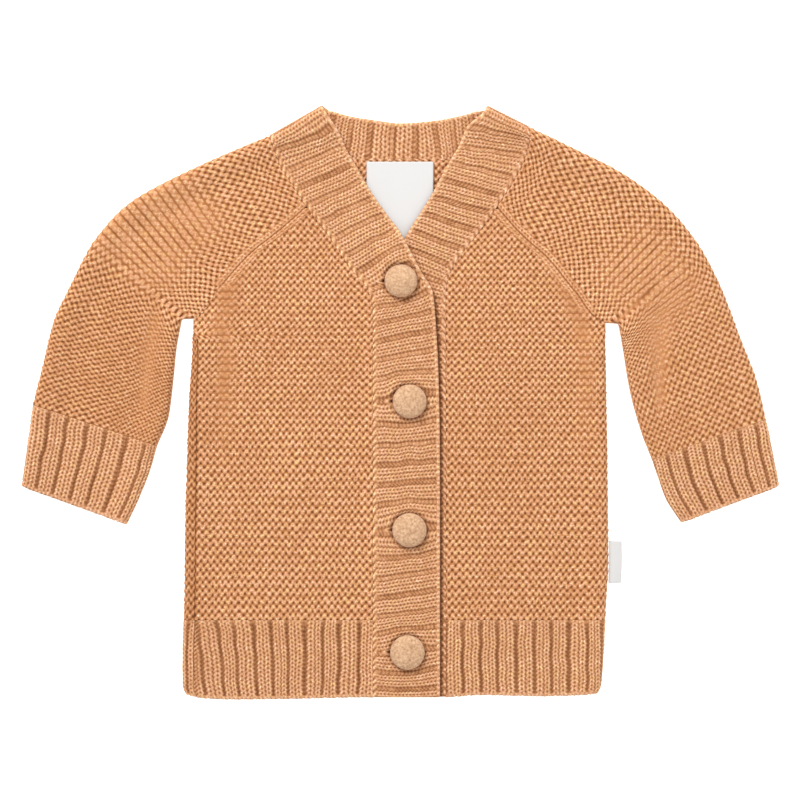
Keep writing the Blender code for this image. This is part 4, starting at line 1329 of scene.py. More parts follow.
band = {
    "pitch": 11.4,
    "foldRibs": 0.39,
    "flatRibs": (0.3, 0.7),   # start and run of the part between the shoulder fold and the flat band
    "step": 0.46,
    "across": {-1: 0.0132, 1: 0.0148},
    "backAcross": 0.021,
    "inner": (90, 7),
    "backInner": (40, 6),
    "drift": (0.8, 6.0),
    "pickUp": 4.35,           # from one picked-up stitch to the next
    "pickUpEdge": 0.6,
    "pickUpSlant": 0.9,
    "pickUpDepth": (0.8, 0.7),
    "pickUpLit": 0.15,
    "selvedge": (1.2, 1.1),
    "selvedgeStitch": 2.9,
    "selvedgeDepth": (0.75, 0.55),
    "selvedgeLit": 0.4,
    "crown": 0.25,
    "backCrown": 0.1,
    "bottomRound": 0.55,
    "square": 3.0,            # the shoulder folds turn square to the band over one part in this many
    "hiddenRib": 11.5,        # below this rib the button band is covered past this share of its width,
    "hiddenShare": 0.35,
    "hiddenStep": 10,         # and only one column in this many is kept
}


def shoulderFold(rows, side, end, share, turn, radius):
    # a shoulder fold of the neckband, turn mm round from its outermost line
    seam, edge = point(rows, "seam", end), point(rows, "edge", end)
    run = unit(edge - seam)
    square = np.stack((-side * abs(run[..., 1]), -abs(run[..., 0])), -1)
    turned = ease(share * band["square"])[..., None]
    front, back = [unit(mix(way, square, turned)) for way in neckWays[side]]
    reach, height, up = roundFold(turn, radius)
    way = unit(mix(back, front, ((1 + up) / 2)[..., None]))
    return mix(seam, edge, share[..., None]) + way * reach[..., None], height


def bandSurface(side, rib, share, depth=0.0):
    rows = bands[side]
    past = rib - band["foldRibs"]
    turn = np.where(past < 0, quarter * rib / band["foldRibs"], quarter + past * band["pitch"])
    folded, foldHeight = shoulderFold(rows, side, 0 * rib, share, turn, cloth["fold"] - depth)
    flat = mix(point(rows, "seam", rib), point(rows, "edge", rib), share[..., None])
    plan = mix(folded, flat, ramp(rib, *band["flatRibs"])[..., None])
    level = layer[side](plan[..., 0], plan[..., 1])
    top = lifted(level, np.maximum(turn - quarter, 0.0)) + cloth["wall"] - depth
    return np.concatenate((plan, np.where(past < 0, foldHeight, top)[..., None]), -1)


def bandStitches(kind, rib, across, width, seed):
    depth, lit, tone = ribStitches(kind, rib, across, seed)
    drift, size = band["drift"]
    run = rib * band["pitch"] + drift * wander(rib * band["pitch"], 0 * rib, size, seed)
    inside = ramp(across, band["pickUpEdge"], kind["picked"])
    strands = loopWave(run + band["pickUpSlant"] * across, band["pickUp"])
    ground, rise = band["pickUpDepth"]
    depth = mix(ground - rise * strands, depth, inside) + seamDip(across)
    lit = mix(mix(band["pickUpLit"], 1.0, strands), lit, inside)
    free = width - across
    inside = ramp(free, *band["selvedge"])
    loops = loopWave(run, band["selvedgeStitch"])
    ground, rise = band["selvedgeDepth"]
    depth = mix(ground - rise * loops, depth, inside) + edgeRound(free)
    return depth, mix(mix(band["selvedgeLit"], 1.0, loops), lit, inside), tone


def underButtons(x, y, depth, lit):
    for bx, by in zip(buttons["x"], buttons["y"]):
        fromMiddle = np.hypot(x - bx, y - by)
        depth = depth + pressed["depth"] * (1 - ramp(fromMiddle, *pressed["edge"]))
        bulge = np.exp(-((fromMiddle - pressed["bulgeAt"]) / pressed["bulgeWidth"]) ** 2)
        depth = depth - pressed["bulge"] * bulge
        # painted shadow round the button
        lit = lit * mix(pressed["lit"], 1.0, ramp(fromMiddle, *pressed["litEdge"]))
        middle = bx - buttonhole["out"] + buttonhole["length"] / 2
        far = ((x - middle) / buttonhole["length"] * 2) ** 2 + ((y - by) / buttonhole["width"] * 2) ** 2
        hole = 1 - ramp(far, *buttonhole["flank"])
        lip = np.exp(-((np.sqrt(far) - buttonhole["lipAt"]) / buttonhole["lipWidth"]) ** 2)
        depth = mix(depth, buttonhole["deep"], hole) - buttonhole["lip"] * lip
        # the buttonhole's slit gets painted shade and the raised lip round it painted light
        lit = np.maximum(mix(lit, 0.0, hole), buttonhole["lipLit"] * lip)
    return depth, lit


def pushedRibs(x, y, rib):
    for bx, by in zip(buttons["x"], buttons["y"]):
        dx, dy = x - bx, y - by
        near = np.exp(-(dx * dx + dy * dy) / pressed["pushReach"] ** 2)
        rib = rib + pressed["push"] * dy / band["pitch"] * near
    return rib


def underLap(x, y, rib, depth, lit):
    wave = lapShadow["wave"] * np.sin(2 * math.pi * rib * band["pitch"] / band["pickUp"])
    past = x - crossing(upperEdge, y) + wave
    clear = mix(lapShadow["lit"], 1.0, ramp(past, *lapShadow["edge"]))
    clear = mix(clear, 1.0, lapShadow["neckShare"] * ramp(y, *lapShadow["neck"]))
    return depth + lapShadow["depth"] * (1 - clear), lit * clear


def makeBand(side, name):
    rows = bands[side]
    lastRib = rows["rib"][-1]
    rib, share = grid(steps(0.0, lastRib, band["step"] / band["pitch"]),
                      steps(0.0, 1.0, band["across"][side]))
    surface = bandSurface(side, rib, share)
    width = length(point(rows, "edge", rib) - point(rows, "seam", rib))
    across = share * width
    x, y = surface[..., 0], surface[..., 1]
    place = rib
    if side < 0:
        place = pushedRibs(x, y, rib) + column(rightSkew, "skew", rib) * (share - 0.5)
    depth, lit, tone = bandStitches(bandRib, place, across, width, 80 + side)
    if side < 0:
        depth, lit = underButtons(x, y, depth, lit)
    else:
        depth, lit = underLap(x, y, rib, depth, lit)
    depth = depth + edgeRound((lastRib - rib) * band["pitch"] * band["bottomRound"])
    relief = facing(surface) * side * ribLift(depth, surface, band["crown"])
    innerRib, innerShare = evenGrid(*band["inner"])
    inner = bandSurface(side, innerRib * lastRib, innerShare, cloth["rib"])
    place = np.broadcast_to(np.arange(rib.shape[1])[None, :], rib.shape)
    if side > 0:
        hidden = (rib > band["hiddenRib"]) & (share > band["hiddenShare"])
        place = np.where(hidden, place // band["hiddenStep"] * band["hiddenStep"], place)
        place[:, -1] = rib.shape[1] - 1
    return clothMesh(name, surface, relief, inner, (lit, tone), place)


def backBandSurface(rib, share, depth):
    # depth is measured from the outside, which is below, so the side that shows is the deeper one
    last = backBand["rib"][-1]
    nearest = np.minimum(rib, last - rib)
    side = np.where(rib < last / 2, -1, 1)
    turn = -quarter * np.minimum(nearest / band["foldRibs"], 1.0)
    turn = turn - np.maximum(nearest - band["foldRibs"], 0.0)
    folded = 0.0
    for each, end in ((-1, 0.0), (1, last)):
        plan, height = shoulderFold(backBand, each, end + 0 * rib, share, turn, cloth["fold"] - depth)
        place = np.concatenate((plan, height[..., None]), -1)
        folded = folded + np.where((side == each)[..., None], place, 0.0)
    flat = mix(point(backBand, "seam", rib), point(backBand, "edge", rib), share[..., None])
    plan = mix(folded[..., :2], flat, ramp(nearest, *band["flatRibs"])[..., None])
    return np.concatenate((plan, folded[..., 2:]), -1)


def makeBackBand(name):
    last = backBand["rib"][-1]
    rib, share = grid(steps(0.0, last, band["step"] / band["pitch"]), steps(0.0, 1.0, band["backAcross"]))
    surface = backBandSurface(rib, share, cloth["wall"])
    width = length(point(backBand, "edge", rib) - point(backBand, "seam", rib))
    across = share * width
    place = np.stack([np.interp(x, mix(backRibs["seam"], backRibs["edge"], s), backRibs["valley"])
                      for x, s in zip(surface[..., 0].T, share[0])], 1)
    depth, lit, tone = bandStitches(backRib, place, across, width, 90)
    up = facing(surface)
    up = up * np.sign(up[..., 2:])
    relief = up * ribLift(depth, surface, band["backCrown"])
    innerRib, innerShare = evenGrid(*band["backInner"])
    inner = backBandSurface(innerRib * last, innerShare, 0.0)
    return clothMesh(name, surface, relief, inner, (lit, tone))


# Back

back = {
    "edgeBand": {-1: 9.8, 1: 4.2},
    "girth": (16.3, 220.0, 7.1),       # of the right edge, the middle and the left edge
    "top": 140.1,
    "fineTop": 52.0,          # the stitches beside the sides end here
    "fade": 3.0,
    "shown": 6.0,             # how quickly the stitches fade in round the edges
    "coarseRows": 14,
    "edgeColumns": (30, 14),
    "hemColumns": (33, 16),
    "middleColumns": 12,
    # the right edge strip gets painted shade, most at the very edge
    "sideLit": 0.72,
    "sideShade": (-0.018, 0.06),        # the very edge is darker
    "innerRight": (0, 0.3, 0.6, 0.8, 1),
    "innerLeft": (1, 0.66, 0.33, 0),
    "innerRows": 16,
    "innerColumns": 165,
    "innerHemRows": 5,
    "neck": 88.0,             # above this height the inside shows in the neck,
    "neckHalf": 46.0,         # as far as this on both sides
    "ribPhase": 5.0,          # of the hem's ribs, from the right edge
}


def backRise(x, y):
    # how far a row of the back is bent up towards the neckband's seam
    middle = np.interp(0.0, backBandSeam[:, 0], backBandSeam[:, 1])
    rise = np.interp(x, backBandSeam[:, 0], backBandSeam[:, 1]) - middle
    return rise * ease((y - cloth["backBend"]) / (middle - cloth["backBend"]))


def backEdge(side, share, y, depth):
    x = crossing(raglans[side, "back"], y)
    for _ in range(3):
        x = crossing(raglans[side, "back"], y + backRise(x, y))
    flatX = x - side * back["edgeBand"][side] * share
    turn = mix(column(sides[side], "seam", y), -quarter, share)
    reach, height, _ = roundFold(turn, cloth["fold"] - depth)
    foldedX = column(sides[side], "x", y) - side * reach
    onTop = lifted(layer[side](foldedX, y), np.maximum(turn - quarter, 0.0)) + cloth["wall"] - depth
    height = np.where(turn > quarter, onTop, height)
    fold = closed(side, y)
    raised = y + (1 - fold) * backRise(flatX, y)
    return np.stack((mix(flatX, foldedX, fold), raised, mix(depth, height, fold)), -1)


def backSurface(right, middle, left, y, depth):
    # shares across the right edge, the middle and the left edge, each a list
    y = y[:, None]
    one = np.ones(1)
    rightEdge, leftEdge = backEdge(-1, one[None, :], y, depth), backEdge(1, one[None, :], y, depth)
    centre = mix(rightEdge, leftEdge, np.array(middle)[None, :, None])
    centre[..., 1] = y + backRise(centre[..., 0], y)
    return np.concatenate((backEdge(-1, np.array(right)[None, :], y, depth), centre,
                           backEdge(1, np.array(left)[None, :], y, depth)), 1)


def backColumns(right, left):
    middle = np.linspace(0, 1, back["middleColumns"])[1:-1]
    return np.linspace(0, 1, right), middle, np.linspace(1, 0, left)


def backAround(right, middle, left):
    # how far round each column lies
    first, second, third = back["girth"]
    return np.concatenate((right * first, first + middle * second,
                           first + second + (1 - left) * third))[None, :]


def backShown(right, middle, left):
    # 1 in the columns whose stitches can be seen
    seen = [ease((1 - edge) * back["shown"]) for edge in (right, left)]
    return np.concatenate((seen[0], 0 * middle, seen[1]))[None, :]


def outwards(surface, column):
    # the way out of the back, which looks down in this column
    away = facing(surface)
    return away * np.sign(away[:1, column:column + 1, 2:]) * -1


def makeBack(name):
    fine = yarn["ridge"] / yarn["perRidge"]
    rows = np.concatenate((steps(cloth["bodyHem"], back["fineTop"], fine),
                           np.linspace(back["fineTop"], back["top"], back["coarseRows"])[1:]))
    columns = backColumns(*back["edgeColumns"])
    right = columns[0]
    outer = backSurface(*columns, rows, 0.0)
    around = backAround(*columns)
    u, v = around / yarn["stitch"] + 0 * rows[:, None], ridgesAt(bodyRidges, rows[:, None]) + 0 * around
    shown = backShown(*columns) * ease((back["fineTop"] - rows) / back["fade"])[:, None]
    stitches, lit, tone = garterStitches(u, v, 55)
    # painted shade on the right edge strip, most at the very edge
    lit[:, :len(right)] *= back["sideLit"] * ramp(right, *back["sideShade"])
    relief = outwards(outer, len(right)) * garterLift(stitches, outer, 0.0) * shown[..., None]
    inRows = np.concatenate((np.linspace(cloth["bodyHem"], back["neck"], back["innerRows"])[:-1],
                             steps(back["neck"], back["top"], fine)))
    middle = np.linspace(0, 1, back["innerColumns"])[1:-1]
    inner = backSurface(back["innerRight"], middle, back["innerLeft"], inRows, cloth["wall"])
    u, v = inner[..., 0] / yarn["stitch"], ridgesAt(bodyRidges, inner[..., 1])
    inside = ramp(inner[..., 1], back["neck"], back["fade"])
    inside = inside * ease((back["neckHalf"] - abs(inner[..., 0])) / back["fade"])
    inStitches, inLit, inTone = garterStitches(u, v, 57)
    inner[..., 2] += yarn["rise"] * (inStitches - yarn["level"]) * inside
    return clothMesh(name, outer, relief, inner, (mix(plainLit, lit, shown), tone),
                     plain=(mix(plainLit, inLit, inside), inTone))


def backHemSurface(right, middle, left, shares, depth=0.0):
    y = mix(cloth["bodyHem"], cloth["hemBottom"], shares)
    surface = backSurface(right, middle, left, y, depth)
    surface[..., 1] = hemY(surface[..., 0], shares[:, None])
    return surface


def makeBackHem(name):
    deep = cloth["bodyHem"] - cloth["hemBottom"]
    shares = steps(0.0, 1.0, hem["step"] / deep)
    columns = backColumns(*back["hemColumns"])
    right, middle, left = columns
    outer = backHemSurface(*columns, shares)
    down = shares[:, None] * deep
    around = backAround(*columns) + 0 * down
    down = down + 0 * around
    stitches = ribStitches(hemRib, (around - back["ribPhase"]) / hem["pitch"], down, 66)
    depth, lit, tone = castOff(stitches, around, down, deep - down)
    shown = backShown(*columns)
    relief = outwards(outer, len(right)) * ribLift(depth, outer) * shown[..., None]
    inner = backHemSurface(back["innerRight"], middle, back["innerLeft"],
                           np.linspace(0, 1, back["innerHemRows"]), cloth["rib"])
    return clothMesh(name, outer, relief, inner, (mix(plainLit, lit, shown), tone))


# Neck label and side tag

tag = {
    "bottom": -105.0,
    "top": -80.5,
    "gap": 0.3,
    "reach": 7.5,
    "wall": 0.8,
    "droop": 1.8,
    "wave": 0.35,
    "waveLength": 6.0,
    "round": 0.4,
    "fine": (50, 22),
    "every": (7, 3),
}


def tape(name, x, y, low, high, keep):
    # bare tape, with a coarser inner face
    outer, inner = np.stack((x, y, high), -1), np.stack((x, y, low), -1)[keep]
    return clothMesh(name, outer, 0 * outer, inner, (1 + 0 * x, 0 * x))


def makeLabel(name):
    share, across = evenGrid(*label["fine"])
    y = mix(label["bottom"], label["top"], share)
    x = mix(-label["half"], label["half"], across)
    topFade, bottom, bottomFade = label["waveFade"]
    wave = label["wave"] * np.sin(x / label["waveLength"] + label["wavePhase"])
    wave = abs(wave * ease((label["top"] - y) / topFade) * ramp(y, bottom, bottomFade))
    low = cloth["wall"] + label["above"] + wave
    edge = edgeRound(np.minimum(label["half"] - abs(x), label["top"] - y), label["round"])
    every = slice(None, None, label["every"])
    return tape(name, x, y, low, low + label["wall"] - edge, (every, every))


def makeTag(name):
    down, share = evenGrid(*tag["fine"])
    y = mix(tag["bottom"], tag["top"], down)
    x = column(leftSide, "x", y) + tag["gap"] + tag["reach"] * share
    wave = tag["wave"] * share * np.sin((y - tag["bottom"]) / tag["waveLength"])
    middle = cloth["fold"] - tag["droop"] * share ** 2 + wave
    fromEdge = np.minimum(np.minimum(y - tag["bottom"], tag["top"] - y), (1 - share) * tag["reach"])
    high = middle + tag["wall"] / 2 - edgeRound(fromEdge, tag["round"])
    keep = tuple(slice(None, None, every) for every in tag["every"])
    return tape(name, x, y, middle - tag["wall"] / 2, high, keep)


# Buttons

button = {
    "rise": 5.2,
    "float": 0.35,
    "rim": 1.3,
    "turnedIn": ((0.45, 0.995), (0.45, 0.965), (0.4, 0.84)),   # steps down, and how far each is drawn in
    "underside": 8.1,         # radius at which the shank's neck begins
    "shank": 1.1,
    "segments": 64,
    "rings": 40,
    "cut": -0.02,             # the half sphere is cut just below its middle
    "spin": 0.9,              # each button is turned this much further than the last one
}


def makeButton(name, x, y, radius, turn):
    foot = resting(x, y) + cloth["wall"] + cloth["air"]
    base = lapping(x, y) + cloth["wall"] + button["float"]
    bpy.ops.mesh.primitive_uv_sphere_add(segments=button["segments"], ring_count=button["rings"],
                                         radius=radius * mm)
    obj = bpy.context.object
    obj.name = obj.data.name = name
    bpy.ops.object.mode_set(mode="EDIT")
    bpy.ops.mesh.select_all(action="SELECT")
    bpy.ops.mesh.bisect(plane_co=(0, 0, button["cut"] * mm), plane_no=(0, 0, 1), clear_inner=True)
    bpy.ops.mesh.select_all(action="SELECT")
    crown = (button["rise"] - button["rim"]) / radius
    bpy.ops.transform.resize(value=(1, 1, crown), center_override=(0, 0, 0))
    bpy.ops.mesh.select_all(action="DESELECT")
    bpy.ops.mesh.select_non_manifold()
    # the cloth turns in under the rim, and a shank stands below
    shank = ((0.0, button["shank"] / button["underside"]), (base - foot, 1.0))
    for drop, size in button["turnedIn"] + shank:
        bpy.ops.mesh.extrude_region_move(TRANSFORM_OT_translate={"value": (0, 0, -drop * mm)})
        bpy.ops.transform.resize(value=(size, size, 1), center_override=(0, 0, 0))
    bpy.ops.mesh.edge_face_add()
    bpy.ops.mesh.select_all(action="SELECT")
    bpy.ops.mesh.normals_make_consistent(inside=False)
    bpy.ops.transform.rotate(value=turn, orient_axis="Z", center_override=(0, 0, 0))
    bpy.ops.transform.translate(value=(x * mm, y * mm, (base + button["rim"]) * mm))
    bpy.ops.object.mode_set(mode="OBJECT")
    bpy.ops.object.shade_smooth()
    return obj


# Materials

def nodeGroup(name, inputs, outputs):
    group = bpy.data.node_groups.new(name, "ShaderNodeTree")
    for direction, sockets in (("INPUT", inputs), ("OUTPUT", outputs)):
        for socketName, kind, *value in sockets:
            socket = group.interface.new_socket(socketName, in_out=direction, socket_type="NodeSocket" + kind)
            if value:
                socket.default_value = value[0]
    return group, group.nodes.new("NodeGroupInput"), group.nodes.new("NodeGroupOutput")


def add(tree, kind, links=(), **values):
    # a node with its settings, its inputs' values and the sockets that feed it
    node = tree.nodes.new("ShaderNode" + kind)
    for key, value in values.items():
        setattr(node, key, value)
    for key, value in dict(links).items():
        socket = node.inputs[key]
        if isinstance(value, bpy.types.NodeSocket):
            tree.links.new(value, socket)
        else:
            socket.default_value = value
    return node


def noise(tree, place, scale, detail, roughness=0.5):
    return add(tree, "TexNoise", {"Vector": place, "Scale": scale, "Detail": detail,
                                  "Roughness": roughness}).outputs["Fac"]


def blend(tree, share, first, second):
    return add(tree, "Mix", {"Factor": share, 6: first, 7: second}, data_type="RGBA").outputs[2]


def spread(tree, value, ends, top=1.0):
    # 0 to top over the range between the ends
    return add(tree, "MapRange", {"Value": value, "From Min": ends[0], "From Max": ends[1],
                                  "To Max": top}).outputs[0]


def weigh(tree, value, weight, other):
    return add(tree, "Math", {0: value, 1: weight, 2: other}, operation="MULTIPLY_ADD").outputs[0]


def newMaterial(name, roughness, specular):
    made = bpy.data.materials.new(name)
    made.use_nodes = True
    shader = made.node_tree.nodes["Principled BSDF"]
    shader.inputs["Roughness"].default_value = roughness
    shader.inputs["Specular IOR Level"].default_value = specular
    return made, made.node_tree, shader


def addBump(tree, shader, height, strength, depth):
    bump = add(tree, "Bump", {"Height": height, "Strength": strength, "Distance": depth * mm})
    tree.links.new(bump.outputs["Normal"], shader.inputs["Normal"])


# Scales of the noises, and the ends of the ranges that turn them into shares of a colour
fibre = {
    "fine": 1400.0,
    "strands": 300.0,
    "broad": 22.0,
    "dye": 700.0,
    "dyed": (0.62, 0.84),
    "toneWeight": 0.4,
    "fineWeight": 0.45,
    "strandWeight": 0.5,
    "broadWeight": 0.35,
    "marled": (0.79, 1.07),
    "paleFlecks": 1250.0,
    "pale": (0.6, 0.72),
    "darkFlecks": 1050.0,
    "dark": (0.54, 0.72),
    # ranges of lit over which the painted shade colour and the deep painted shade colour come in
    "shaded": (0.3, 0.9),
    "deep": (0.0, 0.34),
    "turned": (0.5, 0.0),     # walls that turn away from above are in shade
    "turnedShare": 0.75,
}


def makeYarnGroup():
    # colour of a heathered yarn, with painted shade from how lit each place is and from walls that turn away
    # from above, and the height of its fibres
    group, given, out = nodeGroup(
        "Heathered yarn and painted shade",
        (("Position", "Vector"), ("Up", "Float", 1.0), ("Lit", "Float", 1.0), ("Tone", "Float", 0.5),
         ("Light", "Color", (1, 1, 1, 1)), ("Pale", "Color", (1, 0.9, 0.8, 1)),
         ("Warm", "Color", (0.9, 0.8, 0.6, 1)), ("Mid", "Color", (0.8, 0.8, 0.8, 1)),
         ("Shade", "Color", (0.3, 0.3, 0.3, 1)), ("Deep", "Color", (0.1, 0.1, 0.1, 1)),
         ("Marl", "Float", 0.5)),
        (("Colour", "Color"), ("Fibres", "Float")))
    at = given.outputs
    fine = noise(group, at["Position"], fibre["fine"], 1.0, 0.7)
    strands = noise(group, at["Position"], fibre["strands"], 2.0, 0.6)
    broad = noise(group, at["Position"], fibre["broad"], 2.0, 0.6)
    dye = noise(group, at["Position"], fibre["dye"], 1.0, 0.6)
    dyed = spread(group, weigh(group, at["Tone"], fibre["toneWeight"], dye), fibre["dyed"])
    colour = blend(group, dyed, at["Light"], at["Warm"])
    heather = weigh(group, strands, fibre["strandWeight"], fine)
    heather = weigh(group, broad, fibre["broadWeight"], heather)
    marl = add(group, "Math", {0: spread(group, heather, fibre["marled"]), 1: at["Marl"]},
               operation="MULTIPLY")
    colour = blend(group, marl.outputs[0], colour, at["Mid"])
    pale = spread(group, noise(group, at["Position"], fibre["paleFlecks"], 0.0, 0.6), fibre["pale"])
    colour = blend(group, pale, colour, at["Pale"])
    dark = spread(group, noise(group, at["Position"], fibre["darkFlecks"], 1.0, 0.6), fibre["dark"])
    colour = blend(group, dark, colour, at["Shade"])
    # painted shade: little-lit places go to the shade colour and the least lit to the deep shade colour
    colour = blend(group, spread(group, at["Lit"], fibre["shaded"]), at["Shade"], colour)
    colour = blend(group, spread(group, at["Lit"], fibre["deep"]), at["Deep"], colour)
    turned = spread(group, at["Up"], fibre["turned"], fibre["turnedShare"])
    colour = blend(group, turned, colour, at["Shade"])
    group.links.new(colour, out.inputs["Colour"])
    group.links.new(weigh(group, fine, fibre["fineWeight"], strands), out.inputs["Fibres"])
    return group


yarnLook = {
    "light": (0.90, 0.512, 0.325, 1),
    "pale": (0.95, 0.74, 0.49, 1),
    "warm": (0.89, 0.58, 0.25, 1),
    "mid": (0.60, 0.27, 0.13, 1),
    # shade and deep are painted shade colours for little-lit and least-lit places
    "shade": (0.42, 0.165, 0.058, 1),
    "deep": (0.13, 0.038, 0.008, 1),
    "marl": 0.95,
    "bump": 0.35,
    "bumpDepth": 0.25,
    "roughness": 0.95,
    "specular": 0.2,
    "sheen": 0.25,
    "sheenRoughness": 0.5,
    "sheenTint": (1.0, 0.78, 0.58, 1),
}
ribLook = dict(
    yarnLook,
    light=(0.91, 0.545, 0.355, 1),
    mid=(0.61, 0.30, 0.16, 1),
    # painted shade colour
    shade=(0.44, 0.19, 0.08, 1),
)


def makeYarn(name, group, look):
    made, tree, shader = newMaterial(name, look["roughness"], look["specular"])
    knitted = add(tree, "Group", node_tree=group)
    tree.links.new(add(tree, "TexCoord").outputs["Object"], knitted.inputs["Position"])
    up = add(tree, "SeparateXYZ", {"Vector": add(tree, "NewGeometry").outputs["Normal"]})
    tree.links.new(up.outputs["Z"], knitted.inputs["Up"])
    for socket in ("Lit", "Tone"):
        attribute = add(tree, "Attribute", attribute_name=socket.lower(), attribute_type="GEOMETRY")
        tree.links.new(attribute.outputs["Fac"], knitted.inputs[socket])
    for socket in ("Light", "Pale", "Warm", "Mid", "Shade", "Deep", "Marl"):
        knitted.inputs[socket].default_value = look[socket.lower()]
    addBump(tree, shader, knitted.outputs["Fibres"], look["bump"], look["bumpDepth"])
    tree.links.new(knitted.outputs["Colour"], shader.inputs["Base Color"])
    shader.inputs["Sheen Weight"].default_value = look["sheen"]
    shader.inputs["Sheen Roughness"].default_value = look["sheenRoughness"]
    shader.inputs["Sheen Tint"].default_value = look["sheenTint"]
    return made


buttonLook = {
    "light": (0.665, 0.43, 0.26, 1),
    "mid": (0.38, 0.20, 0.10, 1),
    # rim is a painted shade colour for the edge, where the cloth turns away from above
    "rim": (0.48, 0.22, 0.11, 1),
    "scale": 700.0,
    "fine": 6.0,              # how many times finer the small nap is
    "fineWeight": 0.5,
    "mottled": (0.36, 0.66),
    # where the painted shade of the rim comes in, by how far the cloth faces up
    "turned": (0.45, 0.1),
    "turnedShare": 0.8,
    "bump": 0.5,
    "bumpDepth": 0.35,
    "roughness": 0.9,
    "specular": 0.2,
    "sheen": 0.3,
}


def makeButtonCloth(name, look):
    made, tree, shader = newMaterial(name, look["roughness"], look["specular"])
    place = add(tree, "TexCoord").outputs["Object"]
    nap = noise(tree, place, look["scale"], 5.0, 0.65)
    fine = noise(tree, place, look["scale"] * look["fine"], 2.0)
    colour = blend(tree, spread(tree, nap, look["mottled"]), look["light"], look["mid"])
    up = add(tree, "SeparateXYZ", {"Vector": add(tree, "NewGeometry").outputs["Normal"]})
    # painted shade on the rim, where the cloth turns away from above
    turned = spread(tree, up.outputs["Z"], look["turned"], look["turnedShare"])
    colour = blend(tree, turned, colour, look["rim"])
    addBump(tree, shader, weigh(tree, fine, look["fineWeight"], nap), look["bump"], look["bumpDepth"])
    tree.links.new(colour, shader.inputs["Base Color"])
    shader.inputs["Sheen Weight"].default_value = look["sheen"]
    return made


labelLook = {
    "colour": (0.60, 0.59, 0.58, 1),
    "weft": 620.0,
    "warp": 500.0,
    "uneven": 0.6,
    "weftWeight": 0.6,
    "bump": 0.3,
    "bumpDepth": 0.06,
    "roughness": 0.7,
    "specular": 0.3,
}


def makeLabelCloth(name, look):
    made, tree, shader = newMaterial(name, look["roughness"], look["specular"])
    place = add(tree, "TexCoord").outputs["Object"]
    weft, warp = [add(tree, "TexWave", {"Vector": place, "Scale": look[thread], "Distortion": look["uneven"]},
                      bands_direction=way).outputs["Fac"] for thread, way in (("weft", "Y"), ("warp", "X"))]
    addBump(tree, shader, weigh(tree, weft, look["weftWeight"], warp), look["bump"], look["bumpDepth"])
    shader.inputs["Base Color"].default_value = look["colour"]
    return made


# Pieces

yarnGroup = makeYarnGroup()
garterKnit = makeYarn("Garter knit", yarnGroup, yarnLook)
ribKnit = makeYarn("Rib knit", yarnGroup, ribLook)
buttonCloth = makeButtonCloth("Button cloth", buttonLook)
labelCloth = makeLabelCloth("Label cloth", labelLook)

print("Garter stitch panels")
# Each piece is listed with a flat size in mm and the cloth in it, in square mm
pieces = [
    (makeFront(-1, "rightFront"), "front_right", garterKnit, (119, 240), 22600),
    (makeFront(1, "leftFront"), "front_left", garterKnit, (95, 238), 18300),
    (makeSleeve(-1, "rightSleeve"), "sleeve_right", garterKnit, (168, 195), 27500),
    (makeSleeve(1, "leftSleeve"), "sleeve_left", garterKnit, (166, 202), 27500),
    (makeBack("backPanel"), "back", garterKnit, (262, 266), 57000),
]
print("Ribs")
pieces += [
    (makeHem(-1, "rightFrontHem"), "hem_front_right", ribKnit, (118, 45), 5200),
    (makeHem(1, "leftFrontHem"), "hem_front_left", ribKnit, (95, 44), 4100),
    (makeBackHem("backHem"), "hem_back", ribKnit, (262, 45), 11500),
    (makeCuff(-1, "rightCuff"), "cuff_right", ribKnit, (155, 50), 7000),
    (makeCuff(1, "leftCuff"), "cuff_left", ribKnit, (148, 44), 6000),
    (makeBand(-1, "rightBand"), "band_right", ribKnit, (40, 340), 12600),
    (makeBand(1, "leftBand"), "band_left", ribKnit, (35, 345), 11500),
    (makeBackBand("backNeckband"), "neckband_back", ribKnit, (28, 142), 3500),
]
print("Label, tag and buttons")
pieces += [
    (makeLabel("neckLabel"), "neck_label", labelCloth, (39, 48.6), 1890),
    (makeTag("sideTag"), "side_tag", labelCloth, (24.5, 10), 184),
]
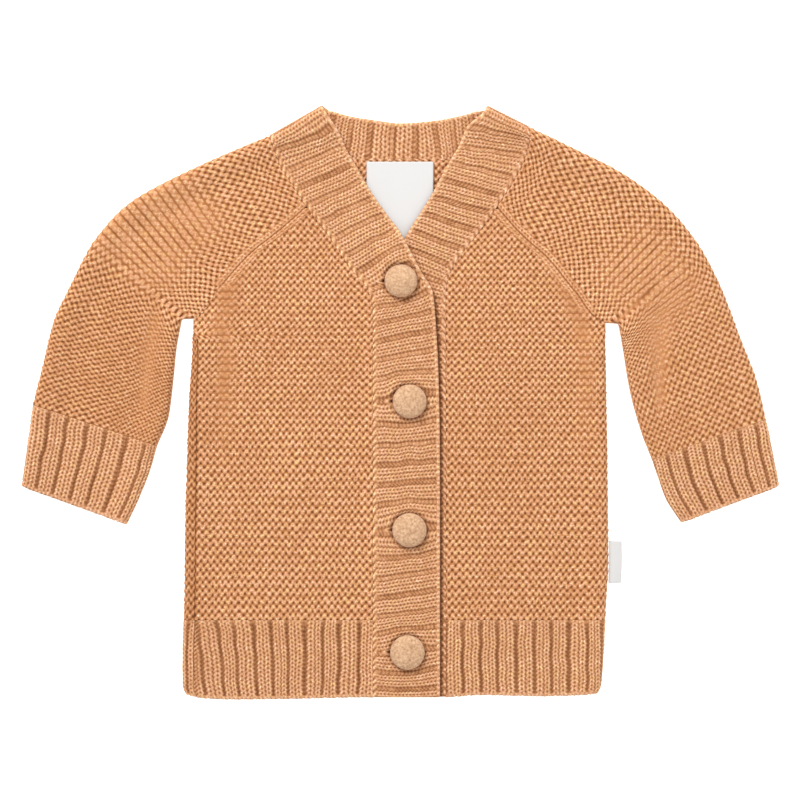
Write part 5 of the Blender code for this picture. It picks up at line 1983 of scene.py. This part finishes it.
for obj, node, look, flat, area in pieces:
    obj.data.materials.append(look)
    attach(obj, "root")
    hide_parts(node)
for number, (x, y, radius) in enumerate(zip(*buttons.values()), 1):
    obj = makeButton(f"button{number}", x, y, radius, number * button["spin"])
    obj.data.materials.append(buttonCloth)
    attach(obj, "root")
    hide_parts(f"button_{number}")

# Floor, lights and camera

studio = {
    "world": 0.85,
    "key": (42.0, 0.85, (-0.85, 1.6, 1.35)),     # power, size and place in metres
    "fill": (5.0, 1.2, (0.9, -0.5, 1.2)),
    "floor": (0.93, 0.93, 0.93, 1),
    "floorSize": 6.0,
    "glow": 0.7,
}

bpy.ops.mesh.primitive_plane_add(size=studio["floorSize"])
floor = bpy.context.object
floor.name = "floor"
floorPaint, _, paint = newMaterial("Floor", 0.9, 0.0)
paint.inputs["Base Color"].default_value = studio["floor"]
paint.inputs["Emission Color"].default_value = (1, 1, 1, 1)
paint.inputs["Emission Strength"].default_value = studio["glow"]
floor.data.materials.append(floorPaint)

world = bpy.data.worlds.new("Studio")
world.use_nodes = True
sky = world.node_tree.nodes["Background"]
sky.inputs["Color"].default_value = (1, 1, 1, 1)
sky.inputs["Strength"].default_value = studio["world"]
bpy.context.scene.world = world


def softLight(name, power, size, place):
    bpy.ops.object.light_add(type="AREA", location=place)
    lamp = bpy.context.object
    lamp.name = name
    lamp.data.energy = power
    lamp.data.size = size
    x, y, z = place
    lamp.rotation_euler = (math.atan2(math.hypot(x, y), z), 0, math.atan2(y, x) + math.pi / 2)


softLight("Key", *studio["key"])
softLight("Fill", *studio["fill"])

view = {
    "lens": 250.0,
    "sensor": 36.0,
    "field": 464.0,           # width of the picture, at this height
    "height": 6.0,
    "middle": (-0.1, 1.2),
}
away = view["field"] * view["lens"] / view["sensor"] + view["height"]
bpy.ops.object.camera_add(location=(view["middle"][0] * mm, view["middle"][1] * mm, away * mm))
camera = bpy.context.object
camera.data.lens = view["lens"]
camera.data.sensor_width = view["sensor"]
bpy.context.scene.camera = camera
bpy.context.scene.view_settings.view_transform = "Standard"

print("Done")
